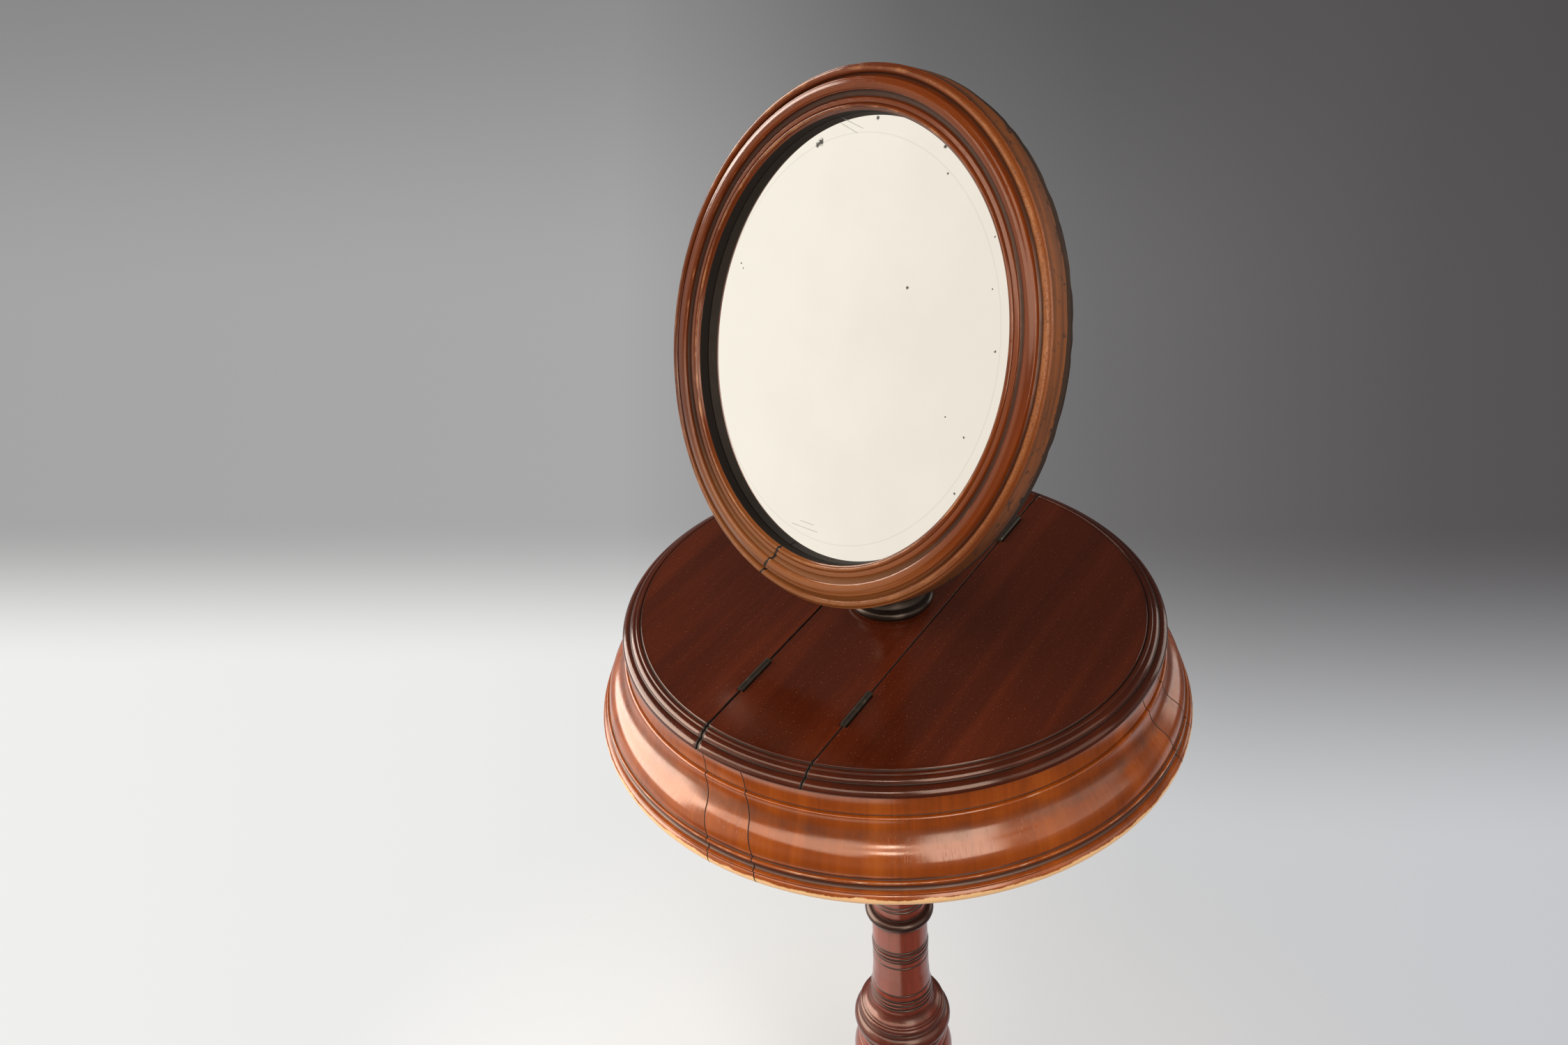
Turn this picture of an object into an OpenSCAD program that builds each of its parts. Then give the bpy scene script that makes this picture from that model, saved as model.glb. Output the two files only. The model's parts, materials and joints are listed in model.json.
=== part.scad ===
// Shaving stand: an oval swivel mirror on a telescopic stem, over a round
// two-compartment case on a turned column with three legs.
// Millimetres. The floor is z = 0, the column's axis is Z and -Y is the front.

/* [Overall] */
// Height of the case's top surface above the floor
top_h = 840; // [800:1:900]
// Thickness of the lids and the centre board
lid_t = 12; // [9:0.5:16]

/* [Case] */
// Radius of the lids' lower outer edge
edge_r = 206; // [196:0.5:216]
// Width of the lids' moulded edge, outside the flat field
edge_w = 15.5; // [15:0.5:24]
// Height of the moulded side
case_h = 74.2; // [70:0.1:84]
// How far the foot of the moulded side stands out past the lids
base_out = 23.8; // [18:0.1:28]
// Thickness of the side under the lids' lower edge
case_wall = 18; // [16:0.5:24]
// Thickness of the bottom board
bottom_t = 10; // [8:0.5:12]
// Width of the rebate that the bottom board sits in
rebate = 8; // [5:0.5:10]
// Angle between the two seams beside each short block of the side
block_a = 9.6; // [8:0.1:12]
// Angle of the front block's middle, counted from the front towards +X
block_front_at = -3.2; // [-5:0.1:0]
// Angle of the right block's middle, counted the same way
block_right_at = 95.5; // [88:0.5:98]
// Lean of those seams from upright
seam_lean = 18; // [10:0.5:20]
// Open width of a seam in the side
seam_gap = 0.3; // [0.2:0.05:0.6]
// Thickness of the two dividers
divider_t = 10; // [8:0.5:12]

/* [Centre board and lids] */
// Width of the fixed centre board
strip_w = 82; // [74:0.5:92]
// Open joint beside the left lid
gap_left = 1.4; // [0.8:0.1:2]
// Open joint beside the right lid
gap_right = 0.8; // [0.6:0.1:1.2]

/* [Butt hinges] */
// Length of a hinge
hinge_len = 38; // [30:0.5:44]
// Distance of a hinge's middle inside the lids' edge, along the joint
hinge_in = 79; // [74:0.5:90]
// Radius of a hinge's barrel
barrel_r = 2.9; // [2.4:0.1:3.2]
// Radius of a hinge's pin
hinge_pin_r = 1.4; // [1.2:0.1:1.6]
// Height of the hinge axis above the top surface
hinge_up = 0.6; // [0.4:0.1:1.2]
// Thickness of a hinge leaf
leaf_t = 1.2; // [1:0.1:1.4]
// Height of a hinge leaf below its barrel's axis
leaf_h = 10; // [8:0.5:10.5]
// Radius of a hinge screw's head
hinge_head_r = 2; // [1.8:0.1:2.2]
// Length of a hinge screw
hinge_screw_len = 11; // [8:0.5:14]

/* [Column] */
// Radius of the flange that carries the case
flange_r = 64; // [58:1:72]
// Thickness of that flange
flange_t = 13; // [12:0.5:18]
// Radius of the shaft just under its flange
shaft_top_r = 22; // [21.5:0.5:23]
// Radius of the shaft at its ring
shaft_r = 24.9; // [24:0.1:26]
// Radius of the shaft's ring
ring_r = 30.5; // [29:0.5:33]
// Radius of the big collar where the shaft meets the vase
torus_r = 45; // [43:0.5:47]
// Greatest radius of the vase
vase_r = 46.5; // [45:0.5:50]
// Height of the vase
vase_h = 127; // [110:1:140]
// Radius of the bore in the column
bore_r = 14; // [13:0.1:15]
// Radius of the spigots that join the column's pieces
spigot_r = 16; // [14:0.5:18]
// Length of those spigots
spigot_len = 36; // [28:1:40]

/* [Legs] */
// Radius of the leg block
hub_r = 38; // [36:0.5:42]
// Height of the leg block
hub_h = 96; // [90:1:104]
// Height of the leg block's lower face above the floor
hub_z = 120; // [112:1:126]
// Thickness of a leg
leg_t = 28; // [24:0.5:32]
// Distance of a foot's middle from the axis
foot_at = 202; // [190:0.5:206]
// Radius of a pad foot
foot_r = 22; // [18:0.5:24]
// Height of a pad foot
foot_h = 15; // [12:0.5:18]
// Depth of a leg's tenon
tenon_d = 14; // [10:0.5:18]
// Thickness of a leg's tenon
tenon_t = 14; // [10:0.5:18]
// Radius of the spigot of the turned drop under the leg block
drop_spigot_r = 8; // [6:0.5:10]

/* [Stem] */
// Radius of the sliding stem
stem_r = 11; // [10:0.1:12]
// Height that the mirror can be raised
lift = 280; // [240:5:290]
// Radius of the turned collar on the case
collar_r = 33; // [30:0.5:36]
// Height of the turned collar
collar_h = 24; // [22:0.5:30]
// Wall of the brass bush in the collar
bush_wall = 2.5; // [2:0.1:3]
// Length of the brass bush below the top surface
bush_down = 36; // [30:1:44]
// Height of the stem's foot
stem_foot_h = 14; // [10:0.5:18]
// Radius of the clamp screw
clamp_r = 3; // [2.5:0.1:3.5]
// Radius of the clamp screw's turned knob
clamp_knob_r = 10; // [8:0.5:11]

/* [Mirror] */
// Height of the tilt axis above the top surface
pivot_up = 212.5; // [205:0.5:225]
// Turn of the mirror in the rest pose
rest_turn = -14.1; // [-20:0.1:0]
// Backward lean of the mirror in the rest pose
rest_lean = 20.5; // [10:0.1:30]
// Half width of the frame
frame_a = 163; // [155:0.5:170]
// Half height of the frame
frame_b = 178.5; // [172:0.5:180]
// Width of the frame's moulding
frame_w = 29.5; // [27:0.5:32]
// Depth of the frame without its backboard
frame_d = 22.5; // [20:0.5:24]
// Depth of the glass behind the frame's outer bead
glass_in = 9.7; // [9:0.1:10.5]
// Thickness of the glass
glass_t = 5; // [4:0.5:5.5]
// Width of the rebate that holds the glass
glass_rebate = 8; // [6:0.5:9]
// Width of the bevel on the glass
bevel_w = 22; // [18:0.5:26]
// Drop of the bevel at the glass edge
bevel_d = 1.6; // [1:0.1:2]
// Thickness of the backboard
backboard_t = 5; // [4:0.5:6]
// Distance from the backboard's rear face to the tilt axis
pivot_back = 19.2; // [19:0.1:22]
// Radius of the tilt pin
tilt_pin_r = 3; // [2.5:0.1:3.5]
// Radius of the tilt joint's knuckles
knuckle_r = 8; // [7:0.5:9]
// Thickness of the tilt joint's middle knuckle
knuckle_w = 8; // [7:0.5:10]
// Thickness of each ear of the fork
ear_w = 5; // [4:0.5:6]
// Radius of the brass plate on the backboard
back_plate_r = 30; // [27:0.5:34]
// Radius of the tilt joint's thumb knob
tilt_knob_r = 11; // [9:0.5:12]

/* [Clearances] */
// Radial clearance of a hinge pin or a sliding fit
run_gap = 0.05; // [0.03:0.01:0.08]
// Side clearance between moving faces
side_gap = 0.3; // [0.2:0.05:0.4]
// Clearance round fixed wooden joints and screws
fit_gap = 0.1; // [0.05:0.01:0.2]

/* [Hidden] */
$fn = 96;
eps = 0.01;
// Height of the lids' lower face, which the case's outlines count from
seat_z = top_h - lid_t;
case_z = seat_z - case_h;
base_r = edge_r + base_out;
flat_r = edge_r - edge_w;
case_in_r = edge_r - case_wall;
half_strip = strip_w / 2;
big = 3 * base_r;
dark_wood = [0.22, 0.07, 0.04];
red_wood = [0.34, 0.13, 0.09];
side_wood = [0.50, 0.24, 0.09];
ebonised = [0.07, 0.04, 0.03];
brass = [0.52, 0.40, 0.18];
old_brass = [0.17, 0.17, 0.14];

// Points along a circular arc
function arc(c, r, a0, a1, n = 8) =
    [for (i = [0:n]) c + r * [cos(a0 + (a1 - a0) * i / n), sin(a0 + (a1 - a0) * i / n)]];

// An S of two equal arcs, upright at both ends, from p down and out to q
function s_curve(p, q, n = 8) =
    let (w = q[0] - p[0], h = p[1] - q[1], phi = 2 * atan(w / h), r = h / (2 * sin(phi)))
    concat(
        [for (i = [0:n]) [p[0] + r * (1 - cos(phi * i / n)), p[1] - r * sin(phi * i / n)]],
        [for (i = [n - 1:-1:0]) [q[0] - r * (1 - cos(phi * i / n)), q[1] + r * sin(phi * i / n)]]);

// A half-round bead on an upright face of radius r, from height z1 down to z0
function bead(r, out, z1, z0, n = 8) =
    [for (i = [0:n]) [r + out * sin(180 * i / n), (z1 + z0) / 2 + (z1 - z0) / 2 * cos(180 * i / n)]];

// A V groove turned into a face of radius r at height z
function groove(r, z, w = 1.1, d = 0.7) = [[r, z + w / 2], [r - d, z], [r, z - w / 2]];

// Wood screw with a slotted countersunk head in the plane z = 0, shank along -Z
module screw(head_r, shank_r, len) {
    sink = head_r * 0.55;
    tip = 2 * shank_r;
    difference() {
        rotate_extrude($fn = 32)
            polygon([[0, 0], [head_r, 0], [shank_r, -sink], [shank_r, tip - len], [0, -len]]);
        translate([-head_r, -head_r * 0.12, -head_r * 0.25]) cube([2 * head_r, head_r * 0.24, head_r]);
    }
}

// The space that a screw takes in the pieces it holds
module screw_hole(head_r, shank_r, len) {
    g = fit_gap;
    sink = head_r * 0.55;
    rotate_extrude($fn = 32) polygon([[0, g], [head_r + g, g], [head_r + g, 0], [shank_r + g, -sink],
        [shank_r + g, -len - g], [0, -len - g]]);
}

// Case side: a moulded ring cut by leaning seams into four long arcs and four short blocks

// Outline of the moulded side, radius against height under the lids
function side_profile() = let (r = edge_r, b = base_r, h = case_h) concat(
    [[case_in_r, 0], [r - 2.6, 0]],
    arc([r + 26, -5], 29, 171, 200, 5),
    [[r - 2.2, -15.4], [r - 2.2, -16.2]],
    arc([r - 0.6, -17.8], 1.6, 90, 0, 5),
    s_curve([r + 1, -18.6], [b - 6.8, 20.1 - h], 9),
    [[b - 6.8, 18.9 - h], [b - 4.4, 18.5 - h], [b - 4.2, 17.1 - h]],
    arc([b - 2.6, 14.3 - h], 2.8, 135, 235, 6),
    [[b - 1.6, 11.2 - h]],
    arc([b - 5.4, 5.4 - h], 5.4, 52, -90, 10),
    [[case_in_r + rebate, -h], [case_in_r + rebate, bottom_t - h], [case_in_r, bottom_t - h]]);

// Half space past (turn = 1) or before (turn = -1) the leaning seam at angle a
module seam_side(a, turn) {
    rotate([0, 0, a]) translate([0, -edge_r, seat_z - case_h / 2]) rotate([0, -seam_lean, 0])
        translate([turn > 0 ? seam_gap / 2 : -big - seam_gap / 2, -big, -big / 2]) cube([big, 2 * big, big]);
}

module side_piece(a0, a1) {
    intersection() {
        translate([0, 0, seat_z]) rotate_extrude($fn = 180) polygon(side_profile());
        seam_side(a0, 1);
        seam_side(a1, -1);
    }
}

block_at = [block_front_at, block_right_at, 180 + block_front_at, 360 - block_right_at, 360 + block_front_at];

module side_arc(k) {
    color(side_wood) difference() {
        side_piece(block_at[k] + block_a / 2, block_at[k + 1] - block_a / 2);
        bottom_screw_places() screw_hole(bottom_head_r, bottom_shank_r, bottom_screw_len);
    }
}

module side_block(k) {
    color(side_wood) side_piece(block_at[k] - block_a / 2, block_at[k] + block_a / 2);
}

// Bottom board, in the rebate under the side, with the screws that hold it

bottom_screws_per_arc = 2;
bottom_head_r = 3;
bottom_shank_r = 1.8;
bottom_screw_bite = 16;
bottom_screw_len = bottom_t + bottom_screw_bite;

module bottom_screw_places() {
    for (k = [0:3], i = [1:bottom_screws_per_arc])
        let (a = block_at[k] + (block_at[k + 1] - block_at[k]) * i / (bottom_screws_per_arc + 1))
        rotate([0, 0, a]) translate([0, -case_in_r - rebate / 2, case_z]) rotate([180, 0, 0]) children();
}

module case_bottom() {
    color([0.42, 0.22, 0.12]) difference() {
        translate([0, 0, case_z])
            cylinder(h = bottom_t - fit_gap, r = case_in_r + rebate - fit_gap, $fn = 180);
        translate([0, 0, case_z - 1]) cylinder(h = bottom_t + 2, r = bore_r);
        bottom_screw_places() screw_hole(bottom_head_r, bottom_shank_r, bottom_screw_len);
        flange_screw_places() screw_hole(flange_head_r, flange_shank_r, flange_screw_len);
    }
}

module case_bottom_screws() {
    color(brass) bottom_screw_places() screw(bottom_head_r, bottom_shank_r, bottom_screw_len);
}

// Dividers stand on the bottom board, under the centre board's edges and the lids' inner edges

module divider(side) {
    x0 = half_strip - divider_t * 0.6;
    color([0.40, 0.20, 0.11]) intersection() {
        translate([0, 0, case_z + bottom_t]) cylinder(h = case_h, r = case_in_r - fit_gap, $fn = 180);
        translate([side > 0 ? x0 : -x0 - divider_t, -case_in_r, case_z + bottom_t])
            cube([divider_t, 2 * case_in_r, case_h - bottom_t - fit_gap]);
    }
}

// Top boards

// Outline of the round top with its moulded edge, height above the lids' lower face
function top_profile() = let (f = flat_r, r = edge_r, t = lid_t) concat(
    [[0, 0], [r - 0.8, 0]],
    arc([r - 0.8, 0.8], 0.8, -90, 0, 3),
    arc([r - 5.4, t - 11.1], 5.4, 4, 82, 8),
    [[f + 9, t - 5.7], [f + 8.8, t - 4.9]],
    arc([f + 5.1, t - 5.7], 3.7, 12, 84, 6),
    [[f + 4.1, t - 2], [f + 3.9, t - 1], [f + 1.7, t - 0.7], [f + 1.2, t - 1.5], [f + 0.6, t - 1.5],
     [f, t], [0, t]]);

module top_disc() {
    translate([0, 0, seat_z]) rotate_extrude($fn = 180) polygon(top_profile());
}

module centre_board() {
    color(dark_wood) difference() {
        intersection() {
            top_disc();
            translate([-half_strip, -big, seat_z - 1]) cube([strip_w, 2 * big, lid_t + 2]);
        }
        for (side = [-1, 1]) {
            barrel_groove(side);
            leaf_recess(side, -1);
            hinge_screw_places(side, -1) screw_hole(hinge_head_r, hinge_shank_r, hinge_screw_len);
        }
        translate([0, 0, seat_z - 1]) cylinder(h = lid_t + 2, r = bush_r + fit_gap);
    }
}

module lid(side) {
    cut = big + half_strip + joint_gap(side);
    color(dark_wood) difference() {
        top_disc();
        translate([side > 0 ? -big : big - cut, -big, seat_z - 1]) cube([cut, 2 * big, lid_t + 2]);
        barrel_groove(side);
        leaf_recess(side, 1);
        hinge_screw_places(side, 1) screw_hole(hinge_head_r, hinge_shank_r, hinge_screw_len);
    }
}

// Butt hinges: five barrels on one pin, three on the fixed leaf and two on the moving one.
// side is -1 for the left lid and 1 for the right; to is -1 for the fixed leaf and 1 for the moving one.

barrels = 5;
barrel_len = hinge_len / barrels;
hinge_shank_r = 1;
hinge_y = edge_r - hinge_in;
hinge_z = top_h + hinge_up;

function joint_gap(side) = side > 0 ? gap_right : gap_left;
function hinge_x(side) = side * (half_strip + joint_gap(side) / 2);

module each_hinge(side) {
    for (y = [-hinge_y, hinge_y]) translate([hinge_x(side), y, hinge_z]) children();
}

// Round groove in the boards for the barrels
module barrel_groove(side) {
    each_hinge(side) rotate([90, 0, 0])
        cylinder(h = hinge_len + 2 * side_gap, r = barrel_r + side_gap, center = true, $fn = 48);
}

// Recess in a board's edge for a leaf
module leaf_recess(side, to) {
    x0 = joint_gap(side) / 2 - eps;
    w = leaf_t + fit_gap + eps;
    each_hinge(side) translate([side * to > 0 ? x0 : -x0 - w, -hinge_len / 2 - fit_gap, -leaf_h - fit_gap])
        cube([w, hinge_len + 2 * fit_gap, leaf_h + barrel_r]);
}

module leaf_plate(side, to, len, top) {
    x0 = joint_gap(side) / 2;
    translate([side * to > 0 ? x0 : -x0 - leaf_t, 0, -leaf_h]) cube([leaf_t, len, leaf_h + top]);
}

module leaves(side, to) {
    first = to > 0 ? 1 : 0;
    trim = to > 0 ? side_gap / 2 : 0;
    color(old_brass) difference() {
        each_hinge(side) {
            translate([0, -hinge_len / 2, 0]) leaf_plate(side, to, hinge_len, -barrel_r - side_gap);
            for (i = [first:2:barrels - 1]) translate([0, -hinge_len / 2 + i * barrel_len + trim, 0]) {
                rotate([-90, 0, 0]) cylinder(h = barrel_len - 2 * trim, r = barrel_r, $fn = 48);
                leaf_plate(side, to, barrel_len - 2 * trim, 0);
            }
        }
        each_hinge(side) rotate([90, 0, 0])
            cylinder(h = hinge_len + 2, r = hinge_pin_r + run_gap, center = true, $fn = 48);
        hinge_screw_places(side, to) screw_hole(hinge_head_r, hinge_shank_r, hinge_screw_len);
    }
}

module hinge_screw_places(side, to) {
    each_hinge(side) for (y = [-1, 0, 1])
        translate([0, y * hinge_len * 0.36, -(leaf_h + barrel_r + side_gap) / 2])
            rotate([0, side * to > 0 ? -90 : 90, 0]) translate([0, 0, -joint_gap(side) / 2]) children();
}

module hinge_screws(side, to) {
    color(old_brass) hinge_screw_places(side, to) screw(hinge_head_r, hinge_shank_r, hinge_screw_len);
}

module hinge_pins() {
    color(old_brass) for (side = [-1, 1]) each_hinge(side)
        rotate([90, 0, 0]) cylinder(h = hinge_len, r = hinge_pin_r, center = true, $fn = 48);
}

// Column: the shaft's heights are counted from the lids' lower face. The mouldings of its lower half keep
// their height above its foot, so the long plain taper takes up any change in the whole height.

vase_foot_z = hub_z + hub_h;
shaft_foot = seat_z - vase_foot_z - vase_h;
ring_at = 159.5;
flange_head_r = 3.4;
flange_shank_r = 2.2;
flange_screw_len = flange_t + bottom_t - 3;

// Outline of the shaft from its flange down to the joint with the vase
function shaft_profile() = let (t = case_h, s = shaft_r, u = shaft_top_r, f = -shaft_foot) concat(
    [[bore_r, -t]],
    arc([flange_r - 4, -t - 4], 4, 90, -40, 7),
    arc([flange_r - 2.6, -t - flange_t], flange_t - 7.4, 90, 180, 6),
    arc([u + 22, -t - flange_t - 21], 21, 90, 180, 10),
    [[u + 1, -t - flange_t - 23]],
    bead(u + 1, 4, -t - flange_t - 23, -t - flange_t - 31),
    [[u, -t - flange_t - 31.5]],
    groove(u + 0.2, -t - flange_t - 50),
    groove(u + 0.3, -t - flange_t - 54),
    [[s - 0.5, f + 185]],
    groove(s - 0.5, f + 180.3, 1.6, 0.9),
    groove(s - 0.5, f + 175.9, 1.8, 1),
    bead(s - 0.4, ring_r - s + 0.4, f + ring_at + 5.5, f + ring_at - 5.5, 12),
    groove(s, f + 124, 1, 0.6),
    [[s + 0.2, f + 120.8]],
    bead(s - 0.3, 1, f + 120.6, f + 115.8, 6),
    bead(s - 0.3, 0.9, f + 115.4, f + 111.6, 6),
    [[s + 0.3, f + 111.4]],
    groove(s + 0.4, f + 104, 1, 0.6),
    [[s + 0.6, f + 87], [s + 1.5, f + 72]],
    groove(s + 1.7, f + 68.2, 1, 0.6),
    [[s + 2.8, f + 62]],
    bead(s + 2.6, 0.9, f + 61.2, f + 56.6, 6),
    bead(s + 2.8, 0.9, f + 56.2, f + 51.8, 6),
    groove(s + 3.4, f + 50, 1.4, 0.8),
    arc([s + 16.6, f + 47], 12.7, 180, 245, 8),
    arc([torus_r - 9, f + 31], 4, 80, -50, 8),
    [[torus_r - 5.2, f + 26.4], [torus_r - 4.6, f + 24.8]],
    arc([torus_r - 10, f + 16], 10, 55, -60, 12),
    [[torus_r - 4.4, f + 6], [torus_r - 3.8, f + 4], [torus_r - 3.8, f],
     [spigot_r, f], [spigot_r, f - spigot_len], [0, f - spigot_len],
     [0, -bore_depth], [bore_r, -bore_depth]]);

module column_shaft() {
    color(red_wood) difference() {
        translate([0, 0, seat_z]) rotate_extrude($fn = 120) polygon(shaft_profile());
        flange_screw_places() screw_hole(flange_head_r, flange_shank_r, flange_screw_len);
    }
}

module flange_screw_places() {
    for (a = [45:90:315]) rotate([0, 0, a])
        translate([flange_r - 14, 0, case_z - flange_t]) rotate([180, 0, 0]) children();
}

module flange_screws() {
    color(brass) flange_screw_places() screw(flange_head_r, flange_shank_r, flange_screw_len);
}

// Outline of the vase, from its top down, height above its foot
function vase_profile() = let (h = vase_h, v = vase_r, k = hub_r, g = fit_gap) concat(
    [[0, h - spigot_len - 1], [spigot_r + g, h - spigot_len - 1], [spigot_r + g, h], [torus_r - 3.8, h],
     [torus_r - 2.8, h - 4], [torus_r - 3.4, h - 7], [v - 5.2, h - 11.5]],
    arc([v - 40, h - 30], 40, 27, 0, 8),
    arc([v - 60, h - 30], 60, 0, -30, 10),
    [[k - 3.5, 43], [k - 3, 41]],
    arc([k + 5, 28], 13.5, 125, 235, 10),
    bead(k - 4, 4, 15, 5),
    [[k - 2, 4.5], [k - 2, 0], [spigot_r, 0], [spigot_r, -spigot_len], [0, -spigot_len]]);

module column_vase() {
    color(red_wood) translate([0, 0, vase_foot_z]) rotate_extrude($fn = 120) polygon(vase_profile());
}

// Leg block with three mortises, and the turned drop below it

tenon_h = hub_h - 26;
tenon_z = hub_z + 13;
drop_spigot_len = 14;
hub_flat = sqrt(pow(hub_r, 2) - pow(leg_t / 2, 2)) - 1;

function block_profile() = let (h = hub_h, r = hub_r, g = fit_gap) concat(
    [[0, h - spigot_len - 1], [spigot_r + g, h - spigot_len - 1], [spigot_r + g, h], [r - 2, h]],
    bead(r - 2, 2.5, h - 1, h - 8),
    [[r, h - 9], [r, 9]],
    bead(r - 2, 2.5, 8, 1),
    [[r - 2, 0], [drop_spigot_r + g, 0], [drop_spigot_r + g, drop_spigot_len + g], [0, drop_spigot_len + g]]);

module leg_block() {
    color(red_wood) difference() {
        translate([0, 0, hub_z]) rotate_extrude($fn = 120) polygon(block_profile());
        for (a = [0, 120, 240]) rotate([0, 0, a]) {
            translate([-tenon_t / 2 - fit_gap, -big, tenon_z - fit_gap])
                cube([tenon_t + 2 * fit_gap, big - hub_r + tenon_d + fit_gap, tenon_h + 2 * fit_gap]);
            translate([-leg_t / 2 - fit_gap, -big, hub_z - 1])
                cube([leg_t + 2 * fit_gap, big - hub_flat, hub_h + 2]);
        }
    }
}

module turned_drop() {
    r = drop_spigot_r;
    color(red_wood) translate([0, 0, hub_z]) rotate_extrude() polygon(concat(
        [[0, drop_spigot_len], [r, drop_spigot_len], [r, 0]],
        arc([r + 12, -4], 4, 90, -70, 7),
        [[r + 9, -9]],
        arc([r + 9, -18], 9, 90, 180, 8),
        [[r + 1, -19.5]],
        arc([r - 6, -27], 9, 50, -60, 8),
        [[r - 4, -36]],
        arc([0, -39], 4, 30, -90, 6)));
}

// A leg's centre line is a cubic curve, and half its depth is set off on both sides of it

leg_mid_z = hub_z + hub_h / 2;
leg_bend = foot_at * 0.555;
leg_path = [[hub_flat + fit_gap, leg_mid_z], [leg_bend, leg_mid_z],
    [leg_bend, foot_h - 1], [foot_at + 4, foot_h * 0.6]];
leg_steps = 22;

function bez(p, t) =
    pow(1 - t, 3) * p[0] + 3 * t * pow(1 - t, 2) * p[1] + 3 * t * t * (1 - t) * p[2] + pow(t, 3) * p[3];
function bez_dir(p, t) =
    3 * pow(1 - t, 2) * (p[1] - p[0]) + 6 * t * (1 - t) * (p[2] - p[1]) + 3 * t * t * (p[3] - p[2]);
function leg_half(t) = 8 + (hub_h / 2 - 19) * pow(1 - t, 1.6) + 3 * pow(sin(180 * t), 2);
function leg_side(sgn) = [for (i = [0:leg_steps])
    let (t = i / leg_steps, d = bez_dir(leg_path, t))
    bez(leg_path, t) + sgn * leg_half(t) * [-d[1], d[0]] / norm(d)];
function reversed(p) = [for (i = [len(p) - 1:-1:0]) p[i]];

module leg(a) {
    color(red_wood) rotate([0, 0, a]) difference() {
        union() {
            translate([leg_t / 2, 0, 0]) rotate([90, 0, -90]) linear_extrude(leg_t)
                polygon(concat(leg_side(1), reversed(leg_side(-1))));
            translate([-tenon_t / 2, -hub_flat - fit_gap - 1, tenon_z])
                cube([tenon_t, hub_flat + fit_gap + 1 - hub_r + tenon_d, tenon_h]);
            translate([0, -foot_at, 0]) rotate_extrude($fn = 64) polygon(concat(
                [[0, 0], [foot_r - 5, 0]],
                arc([foot_r - 5, 5], 5, -90, 60, 8),
                arc([foot_r - 9, foot_h - 3], 4, 0, 80, 5),
                [[0, foot_h + 2]]));
        }
        translate([-big, -big, -big]) cube([2 * big, 2 * big, big]);
    }
}

// Stem, with its collar, bush, foot and clamp

bush_r = stem_r + run_gap + bush_wall;
collar_top = top_h + collar_h;
stem_foot_top = top_h - bush_down - lift - side_gap;
bore_depth = seat_z - stem_foot_top + stem_foot_h + 8;
foot_spigot_r = 4;
foot_spigot_len = 12;
clamp_z = top_h + collar_h * 0.62;
clamp_out = collar_r + 1.5;
knob_h = 16;

module collar() {
    color(ebonised) difference() {
        translate([0, 0, top_h]) rotate_extrude() polygon(concat(
            [[bush_r + fit_gap, 0], [collar_r - 2, 0]],
            arc([collar_r - 4, 4], 4, -60, 70, 8),
            [[collar_r - 5, 8.6]],
            arc([collar_r + 1, 14], 8, 215, 165, 6),
            arc([collar_r - 12, collar_h - 5], 5, 0, 90, 8),
            [[bush_r + fit_gap, collar_h]]));
        clamp_place() translate([0, 0, -2]) cylinder(h = big, r = clamp_r + fit_gap, $fn = 48);
    }
}

module guide_bush() {
    color(brass) difference() {
        translate([0, 0, top_h - bush_down]) cylinder(h = bush_down + collar_h, r = bush_r);
        translate([0, 0, top_h - bush_down - 1]) cylinder(h = bush_down + collar_h + 2, r = stem_r + run_gap);
        clamp_place() translate([0, 0, -2]) cylinder(h = big, r = clamp_r + fit_gap, $fn = 48);
    }
}

// The clamp's tip, at the back of the stem, with its axis along +Z here
module clamp_place() {
    translate([0, stem_r + side_gap, clamp_z]) rotate([-90, 0, 0]) children();
}

module clamp_screw() {
    color(brass) clamp_place() cylinder(h = clamp_out - stem_r + 6, r = clamp_r, $fn = 48);
}

module clamp_knob() {
    color(ebonised) clamp_place() translate([0, 0, clamp_out - stem_r]) turned_knob(clamp_knob_r, clamp_r);
}

// A turned thumb knob with a blind bore for its screw
module turned_knob(r, bore) {
    rotate_extrude($fn = 64) polygon(concat(
        [[bore + run_gap, 0], [r * 0.55, 0], [r * 0.55, 2]],
        arc([r - 3.4, 7], 3.4, -70, 70, 8),
        [[r * 0.5, knob_h - 3]],
        arc([r * 0.5 - 2, knob_h - 2], 2, 0, 90, 4),
        [[0, knob_h], [0, 8], [bore + run_gap, 8]]));
}

// Swivel and tilt joints, at the height of the tilt axis

pivot_z = top_h + pivot_up;
fork_base_h = 6;
fork_base_top = -knuckle_r - 3;
fork_base_r = 12.5;
swivel_pin_r = 5;
swivel_pin_len = 24;
socket_top = fork_base_top - fork_base_h - side_gap;
socket_floor = socket_top - swivel_pin_len - 1;
stem_tenon_r = stem_r - 2.5;
stem_tenon_len = 16;
ear_in = knuckle_w / 2 + side_gap;
ear_out = ear_in + ear_w;

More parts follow.
